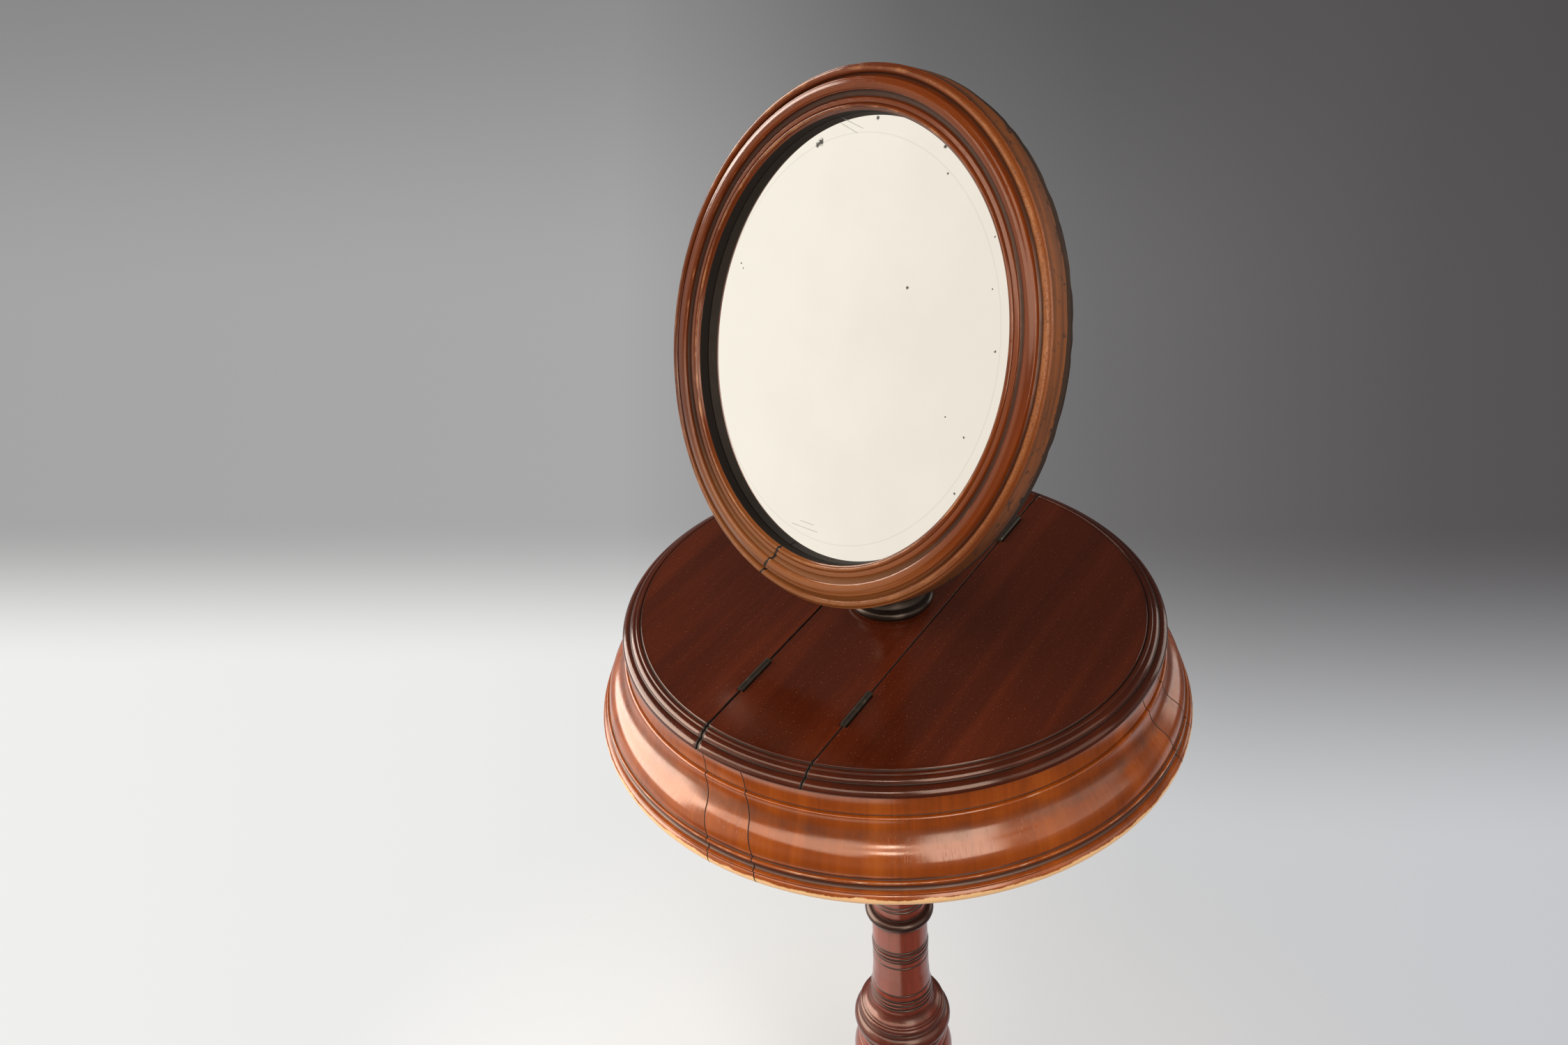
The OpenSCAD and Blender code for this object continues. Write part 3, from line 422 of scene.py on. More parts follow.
def wood(name, deep, body, pale, worn_and_glint, wax_and_shade_colour=(12, 7, 5), rough=0.17, wear_and_glint_from=0.5, wax_and_shade_to=0.85,
         streaks=1.0, shine=0.95, hollow=0.6, fibre=None, extra=None):
    """Colour = ramp(cloud + streak + fine), made darker where relief is low by wax and painted shade, and
    paler where it is high by rubbing and a painted highlight.
    A solid's own mesh carries no marks, so there fibre says how Object coordinates are stretched."""
    r = Recipe(name)
    deep, body, pale, worn_and_glint, wax_and_shade_colour = (paint(*c) for c in (deep, body, pale, worn_and_glint, wax_and_shade_colour))
    grain = r.stretched(r.place(), fibre) if fibre else r.mark("grain", vector=True)
    cloud = r.noise(grain, 0.03, 3, 0.5, 0.8) - 0.5
    streak = r.noise(grain, 0.3, 4, 0.55, 0.3) - 0.5
    fine = r.noise(grain, 1.7, 3, 0.6) - 0.5
    pore = r.smooth(r.noise(grain, 3.3, 1), 0.66, 0.78)
    blotch = r.noise(r.place(), 55, 4, 0.6) - 0.5
    tone = cloud * (0.5 + 0.4 * streaks) + streak * (0.5 * streaks) + fine * (0.22 * streaks) + 0.5
    colour = r.mix(pore * 0.3, r.ramp(tone, (0.25, deep), (0.5, body), (0.76, pale)), wax_and_shade_colour)
    bump = fine * 0.2 + streak * 0.2 - pore * 0.4 + blotch * 0.5
    gloss = blotch * 0.14 + fine * 0.05 + rough
    if not fibre:
        relief, broad = (r.part(r.mark("relief", vector=True), i) for i in (0, 1))
        # Painted shade: narrow hollows of the moulding are darkened, partly as wax and partly as shade.
        wax_and_shade = r.smooth(blotch * 0.6 - relief, 0.05, 0.6)
        wear_and_glint = r.smooth(blotch * 0.9 + relief, wear_and_glint_from, wear_and_glint_from + 0.35)
        # Painted shade: broad hollows, such as under the lid and above the fillets, are darkened.
        shade = r.smooth(blotch * 0.9 - broad, 0.1, 1.9)
        for share in (shade * hollow, wax_and_shade * wax_and_shade_to):
            colour = r.mix(share, colour, wax_and_shade_colour)
        # Painted highlight: high edges get a pale line that is partly rubbed polish and partly a painted
        # glint.
        colour = r.mix(wear_and_glint * 0.75, colour, worn_and_glint)
        gloss = gloss + wax_and_shade * 0.25 + shade * 0.08 - wear_and_glint * 0.04
    if extra is not None:
        colour, gloss, bump = extra(r, colour, gloss, bump)
    return r.finish((bump, 0.0004, 0.25), Base_Color=colour, Roughness=gloss, IOR=1.55,
                    Specular_IOR_Level=shine, Specular_Tint=SHINE)


def fascia_details(r, colour, gloss, bump):
    """Seams are dark with old glue and dust; the lowest edge of the torus is rubbed to bare pale wood."""
    seam, rubbed = (r.part(r.mark("tone", vector=True), i) for i in (0, 1))
    patch = r.noise(r.place(), 28, 5, 0.7)
    bare = r.smooth(rubbed + (patch - 0.5) * 1.8, 0.45, 0.75)
    colour = r.mix(bare * 0.85, colour, paint(250, 200, 142))
    colour = r.mix(seam * 0.92, colour, paint(9, 6, 5))
    return colour, gloss + bare * 0.2 + seam * 0.7, bump


def column_details(r, colour, gloss, bump):
    """The rings and scratched lines of the column are blackened."""
    stain = r.mark("stain")
    return r.mix(stain * 0.92, colour, paint(20, 10, 9)), gloss + stain * 0.12, bump


def top_details(r, colour, gloss, bump):
    """Dark gaps in the moulding where the lids meet the centre board; the left one has opened further. Pale
    dust specks lie on the flat, and the moulded rim is darkened as painted shade.
    """
    where = r.stretched(r.place(), (1000, 1000, 1000))
    x = r.part(where, 0)
    edge = r.smooth(r.length(r.stretched(where, (1, 1, 0))), FLAT_R - 5, FLAT_R + 2)
    bend = (r.noise(where, 0.12, 3) - 0.5) * 2.0
    left, right = abs(x + LEFT_JOINT + bend), abs(x - RIGHT_JOINT + bend * 0.5)
    left = 1.0 - r.smooth(left, edge * 1.2 + 0.6, edge * 1.2 + 1.3)
    right = 1.0 - r.smooth(right, edge * 0.5 + 0.4, edge * 0.5 + 0.9)
    dust = r.smooth(r.noise(where, 0.7, 2, 0.6), 0.64, 0.72) * (1.0 - edge)
    colour = r.mix(dust * 0.3, colour, paint(168, 112, 78))
    # Painted shade: the moulded rim round the flat top is darkened.
    colour = r.mix(edge * 0.3, colour, paint(34, 13, 7))
    colour = r.mix(left + right, colour, paint(8, 6, 5))
    return colour, gloss + (left + right) * 0.5 - edge * 0.03 + dust * 0.2, bump


fascia_wood = wood("fascia_mahogany", (102, 42, 8), (140, 62, 11), (168, 82, 18), (240, 196, 158),
                   wax_and_shade_colour=(48, 20, 12), wear_and_glint_from=0.8, streaks=0.5, hollow=0.9, extra=fascia_details)
top_wood = wood("top_mahogany", (50, 16, 6), (72, 25, 9), (98, 37, 14), (150, 92, 60),
                wear_and_glint_from=0.95, wax_and_shade_to=0.95, streaks=0.3, shine=0.65, extra=top_details)
column_wood = wood("column_mahogany", (86, 31, 21), (124, 52, 37), (158, 72, 53), (176, 98, 68),
                   wear_and_glint_from=0.8, streaks=0.5, shine=0.7, extra=column_details)
print("wood finishes", [m.name for m in bpy.data.materials if "mahogany" in m.name])

# %% [markdown]
# ## Hanging a piece on the model
#
# A new piece has to move with the body that it belongs to, hide the solid that it stands for, and wear
# its finish. These calls always come together, so one function makes them.

# %% Dress a piece
def dress(made, body, finish, slot, *replaced):
    """Gives a piece its material, ties it to a moving body and hides the nodes that it stands for."""
    made.data.materials.clear()
    made.data.materials.append(finish)
    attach(made, body)
    if replaced:
        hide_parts(*replaced)
    return made


# %% [markdown]
# ## The moulded side of the case
#
# The side is a ring of four long arcs and four short blocks, each with its fibres upright, glued end to
# end on slanting joints. It is swept from one outline: a fillet under the lids, a hollow, a wide S that
# runs out to the foot, and a torus. The slant means that an arc starts at a different angle at each
# height, and arcsin(offset / radius) gives that angle, so the joints come out truly flat. The last
# half millimetre at each end is drawn in a little, which is what makes an old joint show as a fine line.

# %% Outline of the side
r, b, h = EDGE_R, BASE_R, CASE_H
side_members = outline(
    [[CASE_IN_R, 0], [r - 2.6, 0]], arc((r + 26, -5), 29, 171, 200, 10),
    [[r - 2.2, -15.4], [r - 2.2, -16.2]], arc((r - 0.6, -17.8), 1.6, 90, 0, 6),
    s_curve((r + 1, -18.6), (b - 6.8, 20.1 - h), 18),
    [[b - 6.8, 18.9 - h], [b - 4.4, 18.5 - h], [b - 4.2, 17.1 - h]],
    arc((b - 2.6, 14.3 - h), 2.8, 135, 235, 10), [[b - 1.6, 11.2 - h]],
    arc((b - 5.4, 5.4 - h), 5.4, 52, -90, 16),
    [[CASE_IN_R + REBATE, -h], [CASE_IN_R + REBATE, BOTTOM_T - h], [CASE_IN_R, BOTTOM_T - h]])
side_section = section(side_members, True, 0.45, 1.5)
print("side outline", len(side_section[0]), "points, relief", side_section[1].min(0).round(2), "to",
      side_section[1].max(0).round(2), "mm")

# %% Sweep an arc or a block of the side between two slanting joints
SEAM_LEAN, SEAM_GAP, BLOCK, RUBBED, PALE = 18.0, 0.3, 9.6, 5.5, 4.0
BLOCK_AT = [-3.2, 95.5, 176.8, 264.5, 356.8]


def side_piece(name, a0, a1):
    """Angle from the front = joint's angle + arcsin(x / radius), with x = -tan(lean) (height - middle).
    The lowest RUBBED mm of the torus, and PALE mm more by and by, have lost their polish."""
    points, relief, run, out = side_section
    n = max(6, int((a1 - a0) / 1.2))
    lean = -math.tan(math.radians(SEAM_LEAN)) * (points[:, 1] + CASE_H / 2)
    half = SEAM_GAP / 2 / math.cos(math.radians(SEAM_LEAN))
    along = np.r_[0, 0, np.linspace(0, 1, n + 1), 1, 1]
    inset, back, seam = np.zeros(n + 5), np.full(n + 5, 0.5), np.zeros(n + 5)
    inset[[0, -1]], seam[[0, 1, -2, -1]] = 0.2, 1.0
    back[[0, -1]], back[[1, -2]] = 0.0, 0.2
    rubbed = np.clip((RUBBED + PALE - CASE_H - points[:, 1]) / PALE, 0, 1) * (points[:, 0] > BASE_R - 9)
    p = points[:, None] - out[:, None] * inset[None, :, None]
    start = math.radians(a0) + np.arcsin((lean[:, None] + half + back) / p[..., 0])
    stop = math.radians(a1) + np.arcsin((lean[:, None] - half - back) / p[..., 0])
    angle = start + (stop - start) * along
    grid = np.stack([p[..., 0] * np.sin(angle), -p[..., 0] * np.cos(angle), SEAT + p[..., 1]], -1)
    fibre = np.stack([EDGE_R * np.cos(angle), EDGE_R * np.sin(angle), run[:, None] / 26 + 0 * angle], -1)
    tone = np.stack([seam + 0 * angle, rubbed[:, None] + 0 * angle, 0 * angle], -1)
    made = swept(name, grid, True, relief, tone=tone.reshape(-1, 3),
                 grain=fibre.reshape(-1, 3) + [a0, 3 * a0, a1])
    dress(made, "stand", fascia_wood, "side_wood", name)


for k, (long_arc, block) in enumerate((("front_right", "front"), ("back_right", "right"),
                                       ("back_left", "back"), ("front_left", "left"))):
    side_piece("case_side_" + long_arc, BLOCK_AT[k] + BLOCK / 2, BLOCK_AT[k + 1] - BLOCK / 2)
    side_piece("side_block_" + block, BLOCK_AT[k] - BLOCK / 2, BLOCK_AT[k] + BLOCK / 2)

# %% [markdown]
# ## The lids and the centre board
#
# The top is one turned disc sawn into three boards: a narrow fixed one and two lids. A lid is therefore
# the part of a disc on one side of a straight line. Its rows are the circles of the outline, and each
# circle is kept between the two points where it meets the line, at plus and minus arccos(x / radius).
# Towards the line the circles shrink to a point, so one grid covers the whole lid without a hole.
# The beds of the hinges are then cut with a Boolean modifier, as a chisel would cut them.

# %% Outline of the top's moulded edge
f, t = FLAT_R, BOARD
edge_members = outline(
    [[f, t], [f + 0.6, t - 1.5], [f + 1.2, t - 1.5], [f + 1.7, t - 0.7], [f + 3.9, t - 1],
     [f + 4.1, t - 2]], arc((f + 5.1, t - 5.7), 3.7, 84, 12, 8), [[f + 8.8, t - 4.9], [f + 9, t - 5.7]],
    arc((r - 5.4, t - 11.1), 5.4, 82, 4, 10), arc((r - 0.8, 0.8), 0.8, 0, -90, 4))
print("edge outline", len(edge_members), "points before rounding")

# %% Cutters and carving
def applied(made):
    """The mesh of an object as its modifiers leave it."""
    bpy.context.view_layer.update()
    return bpy.data.meshes.new_from_object(made.evaluated_get(bpy.context.evaluated_depsgraph_get()))


def carved(made, cutters):
    """The object with each closed cutter taken out of it by a Boolean, and the cutters removed."""
    for cutter in cutters:
        cut = made.modifiers.new("cut", "BOOLEAN")
        cut.operation, cut.solver, cut.object = "DIFFERENCE", "MANIFOLD", cutter
    result = applied(made)
    made.modifiers.clear()
    made.data = result
    for cutter in cutters:
        bpy.data.objects.remove(cutter)
    result.shade_smooth()
    result.set_sharp_from_angle(angle=math.radians(34))
    return made


def hinge_cutters(x, side, gap):
    """A round bed of radius barrel + 0.3 and the slot of a leaf beside it, as one outline run along Y."""
    made = []
    r, near, far = BARREL_R + 0.3, gap / 2 - 2, gap / 2 + LEAF_T + 0.1
    a0, a1 = -math.degrees(math.acos(far / r)), 360 - math.degrees(math.acos(near / r))
    shape = outline(arc((0, 0), r, a0, a1, 24), [[near, -LEAF_H - 0.1], [far, -LEAF_H - 0.1]])
    for y in (-HINGE_Y, HINGE_Y):
        ends = y + np.array([-1, 1]) * (HINGE_LEN / 2 + 0.1)
        grid = np.stack([x + side * shape[:, :1] + 0 * ends, 0 * shape[:, :1] + ends,
                         HINGE_Z + shape[:, 1:] + 0 * ends], -1)
        made.append(swept("cutter", grid, True))
    return made


# %% Lids
def drawn_in(points, ends):
    """How far the outline shrinks at a sawn end: 0.35 mm on the flat, 0.12 mm on the fine moulding."""
    return np.where(points[:, :1] < FLAT_R - 1, 0.35, 0.12) * ends


def lid(name, side, gap):
    """The disc beyond x = half strip + gap: each circle runs from -arccos(x / r) to +arccos(x / r)."""
    x0 = HALF_STRIP + gap
    points, relief, _, out = section(outline([[x0, BOARD]], edge_members, [[x0, 0]]), False, 0.4, 4.0)
    n = 180
    u = np.r_[-1, np.linspace(-1, 1, n + 1), 1]
    inset = drawn_in(points, np.abs(u) == 1)
    inset[:, [1, -2]] = 0
    plane = np.full(n + 3, x0 + 0.4)
    plane[[0, -1]] = x0
    p = points[:, None] - out[:, None] * inset[..., None]
    radius = np.maximum(p[..., 0], plane)
    angle = np.arccos(np.clip(plane / radius, -1, 1)) * u
    grid = np.stack([side * radius * np.cos(angle), radius * np.sin(angle), SEAT + p[..., 1]], -1)
    fibre = (grid * [1, 1 / 24, 1]).reshape(-1, 3) + [0, 40 * side, 0]
    made = swept(name, grid, False, relief, grain=fibre)
    carved(made, hinge_cutters(side * (HALF_STRIP + gap / 2), side, gap))
    dress(made, name, top_wood, "dark_wood", name)


lid("lid_left", -1, GAP_LEFT)
lid("lid_right", 1, GAP_RIGHT)

# %% [markdown]
# The centre board runs from edge to edge between the lids. Here a row is a chord instead: y is the
# square root of radius squared less x squared, so both ends follow the round and carry the moulding.

# %% Centre board
def centre_board():
    """Loop of the outline from the middle out to the front and back, then the same to the rear."""
    points, relief, _, out = section(outline([[0, BOARD]], edge_members, [[0, 0]]), False, 0.4, 4.0)
    x = np.r_[-HALF_STRIP, np.linspace(-HALF_STRIP + 0.4, HALF_STRIP - 0.4, 27), HALF_STRIP]
    p = points[:, None] - out[:, None] * drawn_in(points, np.abs(x) > HALF_STRIP - 0.1)[..., None]
    rim = np.where(p[..., 1] > BOARD / 2, FLAT_R, EDGE_R - 0.8)
    share = np.minimum(p[..., 0] / rim, 1.0)
    y = share * np.sqrt(np.maximum(p[..., 0], rim) ** 2 - x**2)
    front = np.stack([x + 0 * y, -y, SEAT + p[..., 1]], -1)
    grid = np.concatenate([front, front[::-1][1:-1] * [1, -1, 1]])
    fibre = (grid * [1, 1 / 24, 1]).reshape(-1, 3) + [300, 0, 0]
    made = swept("centre_board", grid, True, np.vstack([relief, relief[::-1][1:-1]]), grain=fibre)
    bore = turned("cutter", [[0, SEAT - 2], [BUSH_R, SEAT - 2], [BUSH_R, TOP + 4], [0, TOP + 4]], 64, 0, 50)
    carved(made, [bore, *hinge_cutters(-LEFT_JOINT, 1, GAP_LEFT), *hinge_cutters(RIGHT_JOINT, -1, GAP_RIGHT)])
    dress(made, "stand", top_wood, "dark_wood", "centre_board")


centre_board()

# %% [markdown]
# ## The column
#
# Shaft, vase, leg block and drop all come from the lathe, so each is its outline turned about Z. The
# solids are bored and pegged inside, which nobody sees, so here the outlines simply close on the axis.
# The shaft's heights count from its foot.

# %% Turned pieces of the column
def upright(name, members, n, height, body="stand", finish=column_wood, slot="red_wood", **more):
    """A turned piece round the column's axis, raised by height and dressed."""
    dress(turned(name, members, n, place=lambda g: g + [0, 0, height], **more), body, finish, slot, name)


# The shaft's radius, its neck's radius, and the height where the hollow under its flange begins
s, u, z0 = 24.9, 22.0, SHAFT_DOWN - CASE_H - 13.0
shaft_members = outline(
    [[0, z0 + 13]], arc((60, z0 + 9), 4, 90, -40, 8), arc((61.4, z0), 5.6, 90, 180, 8),
    arc((u + 22, z0 - 21), 21, 90, 180, 14), [[u + 1, z0 - 23]], bead(u + 1, 4, z0 - 23, z0 - 31),
    [[u, z0 - 31.5]], groove(u + 0.2, z0 - 50), groove(u + 0.3, z0 - 54), [[s - 0.5, 185]],
    groove(s - 0.5, 180.3, 1.6, 0.9), groove(s - 0.5, 175.9, 1.8, 1), bead(s - 0.4, 6, 165, 154, 16),
    groove(s, 124, 1, 0.6), [[s + 0.2, 120.8]], bead(s - 0.3, 1, 120.6, 115.8),
    bead(s - 0.3, 0.9, 115.4, 111.6), [[s + 0.3, 111.4]], groove(s + 0.4, 104, 1, 0.6),
    [[s + 0.6, 87], [s + 1.5, 72]], groove(s + 1.7, 68.2, 1, 0.6), [[s + 2.8, 62]],
    bead(s + 2.6, 0.9, 61.2, 56.6), bead(s + 2.8, 0.9, 56.2, 51.8), groove(s + 3.4, 50, 1.4, 0.8),
    arc((s + 16.6, 47), 12.7, 180, 245, 12), arc((36, 31), 4, 80, -50, 10), [[39.8, 26.4], [40.4, 24.8]],
    arc((35, 16), 10, 55, -60, 16), [[40.6, 6], [41.2, 4], [41.2, 0], [0, 0]]) - [0, SHAFT_DOWN]
black_rings = np.array([
    (181.6, 179, 1), (177.4, 174.4, 1), (166, 153, 1), (125.1, 122.9, 1), (122, 119.2, 1), (117.4, 113.8, 1),
    (112.9, 109.8, 1), (105.2, 103, 1), (69.2, 67.2, 1), (63, 60.2, 1), (58, 54.8, 1), (52.8, 48.6, 1),
    (36.4, 0, 0.62)]) - [SHAFT_DOWN, SHAFT_DOWN, 0]
upright("column_shaft", shaft_members, 100, SEAT, corner=0.35, step=0.9, stain=black_rings)

# The vase's widest radius, and the radius of the block that it stands on
v, k = 46.5, HUB_R
vase_members = outline(
    [[0, 127], [41.2, 127], [42.2, 123], [41.6, 120], [v - 5.2, 115.5]], arc((v - 40, 97), 40, 27, 0, 12),
    arc((v - 60, 97), 60, 0, -30, 16), [[k - 3.5, 43], [k - 3, 41]], arc((k + 5, 28), 13.5, 125, 235, 16),
    bead(k - 4, 4, 15, 5), [[k - 2, 4.5], [k - 2, 0], [0, 0]])
upright("column_vase", vase_members, 144, VASE_FOOT)

block_members = outline([[0, HUB_H], [k - 2, HUB_H]], bead(k - 2, 2.5, HUB_H - 1, HUB_H - 8),
                        [[k, HUB_H - 9], [k, 9]], bead(k - 2, 2.5, 8, 1), [[k - 2, 0], [0, 0]])
upright("leg_block", block_members, 120, HUB_Z)

drop_members = outline([[0, 0]], arc((20, -4), 4, 90, -70, 8), [[17, -9]], arc((17, -18), 9, 90, 180, 10),
                       [[9, -19.5]], arc((2, -27), 9, 50, -60, 12), [[4, -36]], arc((0, -39), 4, 30, -90, 8))
upright("turned_drop", drop_members, 96, HUB_Z)

# %% [markdown]
# ## The three legs
#
# A cabriole leg is sawn from a plank and then shaped with spokeshave and rasp, so its section changes
# from a flat-sided rectangle at the block to a round at the ankle. One superellipse does both: its power
# is high where the leg is square and near two where it is round. The foot comes from the lathe. A Boolean
# joins it to the leg, and a voxel remesh with some smoothing evens the join, as a rasp would.

# %% Leg
def points_of(mesh):
    """The places of a mesh's vertices in metres, one row each."""
    points = np.zeros(len(mesh.vertices) * 3)
    mesh.vertices.foreach_get("co", points)
    return points.reshape(-1, 3)


def turn_about(axis, degrees):
    return np.array(Matrix.Rotation(math.radians(degrees), 3, axis))


def leg_shape():
    """Section at q: centre + depth n |cos|^(2/e) + width side |sin|^(2/e), with e falling from 7.3 to 2.3.
    The centre runs on the cubic Bezier curve of four points, as distance from the axis and height."""
    flat = math.sqrt(HUB_R**2 - 14**2) - 1
    path = np.array([[flat + 0.1, 168], [112.1, 168], [112.1, 14], [206, 9]])
    q = np.linspace(0, 1, 61)[:, None]
    back = 1 - q
    mid = back**3 * path[0] + 3 * q * back**2 * path[1] + 3 * q * q * back * path[2] + q**3 * path[3]
    along = np.diff(path, axis=0)
    way = 3 * back**2 * along[0] + 6 * q * back * along[1] + 3 * q * q * along[2]
    way /= np.linalg.norm(way, axis=1)[:, None]
    normal = np.stack([-way[:, 1], way[:, 0]], 1)
    deep = 8 + (HUB_H / 2 - 19) * (1 - q) ** 1.6 + 3 * np.sin(math.pi * q) ** 2
    wide = 14 - 3.2 * np.clip((q - 0.15) / 0.6, 0, 1) ** 1.2
    power = 2.3 + 5 * np.clip(1 - q / 0.55, 0, 1) ** 1.5
    a = circle(72)[None]
    across = np.sign(np.cos(a)) * np.abs(np.cos(a)) ** (2 / power) * deep
    side = np.sign(np.sin(a)) * np.abs(np.sin(a)) ** (2 / power) * wide
    spot = mid[:, None] + normal[:, None] * across[..., None]
    grid = np.stack([side, -spot[..., 0], spot[..., 1]], -1)
    ends = np.arange(72)
    leg = skin("leg_rough", grid, quads(61, 72, False, True), [ends, ends[::-1] + 60 * 72])
    pad = outline([[0, 0], [17, 0]], arc((17, 5), 5, -90, 60, 8), arc((13, 12), 4, 0, 80, 6), [[0, 17]])
    foot = turned("foot_rough", pad, 96, place=lambda g: g + [0, -202, 0])
    join = leg.modifiers.new("join", "BOOLEAN")
    join.operation, join.solver, join.object = "UNION", "EXACT", foot
    even = leg.modifiers.new("even", "REMESH")
    even.mode, even.voxel_size = "VOXEL", 0.0017
    soft = leg.modifiers.new("soft", "SMOOTH")
    soft.factor, soft.iterations = 0.5, 6
    mesh = applied(leg)
    for rough in (leg, foot):
        bpy.data.objects.remove(rough)
    return mesh, points_of(mesh)


leg_mesh, leg_points = leg_shape()
SOLE = 0.0006  # metres: what lies lower than this belongs to the flat sole
leg_points[leg_points[:, 2] < SOLE, 2] = 0.0
sideways, outward, height = leg_points[:, 0], -leg_points[:, 1], leg_points[:, 2]
fibre = np.stack([sideways, outward * 0.78 + height * 0.62, (outward * 0.62 - height * 0.78) / 22], 1) * 1000
for name, turn in (("leg_front", 0), ("leg_rear_right", 120), ("leg_rear_left", 240)):
    mesh = leg_mesh.copy()
    mesh.vertices.foreach_set("co", (leg_points @ turn_about("Z", turn).T).ravel())
    mark = mesh.attributes.new("grain", "FLOAT_VECTOR", "POINT")
    mark.data.foreach_set("vector", (fibre + turn).astype(np.float32).ravel())
    mesh.shade_smooth()
    mesh.update()
    dress(placed(name, mesh), "stand", column_wood, "red_wood", name)
print("leg", len(leg_mesh.polygons), "faces, lowest", leg_points[:, 2].min())

# %% [markdown]
# ## Ebonised wood and brass
#
# The collar and the thumb knobs are stained black under the same polish, and the fittings are brass.
# Brass that is handled stays warm; brass that is left alone goes grey-green, and the hinges are far along
# that way. Metal could be one colour with a sharp gloss, but it would look new. So noise carries a dull
# brown film over the bright metal, and the film is rougher and less metallic than what is under it.

# %% Other finishes
ebony = wood("ebonised_wood", (12, 8, 6), (20, 13, 10), (30, 20, 14), (80, 50, 32), rough=0.28,
             wear_and_glint_from=0.75, streaks=0.6, shine=0.45)


def brass_finish(name, bright, film, amount, rough):
    """Share of film = smooth(noise) around amount; colour, roughness and metallic all follow that share."""
    r = Recipe(name)
    cloud = r.noise(r.place(), 90, 5, 0.65, 0.4)
    speck = r.noise(r.place(), 900, 3, 0.6)
    share = r.smooth(cloud * 0.7 + speck * 0.3, 0.72 - amount, 0.98 - amount)
    colour = r.mix(share, paint(*bright), paint(*film))
    colour = r.mix((speck - 0.35) * 0.25, colour, (0.0, 0.0, 0.0))
    return r.finish((speck, 0.00006, 0.4), Base_Color=colour, Metallic=1.0 - share * 0.35,
                    Roughness=share * 0.22 + rough)


brass = brass_finish("handled_brass", (196, 158, 84), (112, 86, 44), 0.38, 0.26)
dull_brass = brass_finish("neglected_brass", (150, 132, 106), (66, 58, 48), 0.5, 0.20)


WORN = 0.76


def smoothed(node, finish, slot):
    """A copy of a node's loose triangles with its doubles merged, shaded smooth except at real corners.
    Points within a barrel's radius of a hinge's axis are drawn in to WORN of it: barrels thin with use."""
    source = frame["nodes"][node]
    work = bmesh.new()
    work.from_mesh(source.data)
    bmesh.ops.remove_doubles(work, verts=work.verts, dist=1e-6)
    mesh = bpy.data.meshes.new(node + "_smooth")
    work.to_mesh(mesh)
    work.free()
    if node.startswith("hinge"):
        points = points_of(mesh)
        axis_x = np.where(points[:, 0] < 0, -LEFT_JOINT, RIGHT_JOINT) * MM
        away = np.stack([points[:, 0] - axis_x, points[:, 2] - HINGE_Z * MM], 1)
        near = np.hypot(away[:, 0], away[:, 1]) < (BARREL_R + 0.05) * MM
        away[near] *= WORN
        points[:, 0], points[:, 2] = axis_x + away[:, 0], HINGE_Z * MM + away[:, 1]
        mesh.vertices.foreach_set("co", points.ravel())
    mesh.shade_smooth()
    mesh.set_sharp_from_angle(angle=math.radians(32))
    dress(placed(node + "_smooth", mesh), source["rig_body"], finish, slot, node)


# %% [markdown]
# ## Stem, collar and the joints of the mirror
#
# The stem slides in a turned collar on the case. A thumb screw at the back of the collar holds it. Its
# ferrule carries a brass socket in which a fork turns, and the mirror tilts on a pin through the fork.

# %% Turned fittings
collar_members = outline([[BUSH_R, 0], [31, 0]], arc((29, 4), 4, -60, 70, 10), [[28, 8.6]],
                         arc((34, 14), 8, 215, 165, 8), arc((21, 19), 5, 0, 90, 10), [[BUSH_R, COLLAR_H]])
upright("collar", collar_members, 128, TOP, "stand", ebony, "ebonised")

foot, cap, ferrule, head = 523.7, TOP + COLLAR_H, 992.2, 1008.1
SCREW_OUT, PIN_OUT = 23.5, 9.6
stem_members = outline(
    [[0, foot], [STEM_R, foot], [STEM_R, cap + 0.3], [15, cap + 0.3]], bead(14, 3.5, cap + 1, cap + 9),
    [[12, cap + 10]], arc((20, cap + 21), 10, 230, 140, 10),
    [[13.4, cap + 29], [13.4, cap + 31], [12, cap + 32], [9.5, ferrule - 16]],
    bead(9.5, 3, ferrule - 15, ferrule - 9), [[9.5, ferrule - 8], [11.5, ferrule - 2]],
    [[11.5, ferrule - 0.1], [8.5, ferrule - 0.1], [8.5, head], [0, head]])
upright("stem", stem_members, 96, 0, "stem", corner=0.35)

socket_members = outline([[0, -60.3], [11.5, -60.3]], bead(11.5, 1.5, -59.3, -56.3), [[11.5, -42.3]],
                         bead(11, 1.5, -21.3, -17.3), [[5.05, -17.3], [5.05, -42.3], [0, -42.3]])
upright("swivel_socket", socket_members, 96, PIVOT_Z, "stem", brass, "brass", corner=0.25)


def knob(name, body, r, place):
    """A thumb knob: a neck, a rounded grip and a button, with a blind bore for its screw."""
    bore = 3.05
    members = outline([[0, 8], [bore, 8], [bore, 0], [r * 0.55, 0], [r * 0.55, 2]],
                      arc((r - 3.4, 7), 3.4, -70, 70, 10), [[r * 0.5, 13]],
                      arc((r * 0.5 - 2, 14), 2, 0, 90, 6), [[0, 16]])
    dress(turned(name, members, 80, 0.3, place=place), body, ebony, "ebonised", name)


SWIVEL = turn_about("Z", TURN)
MIRROR = SWIVEL @ turn_about("X", -LEAN)


def on_mirror(grid):
    """From the mirror's own axes to the rest pose: turned by the lean and the swivel, raised to the pivot."""
    return grid @ MIRROR.T + [0, 0, PIVOT_Z]


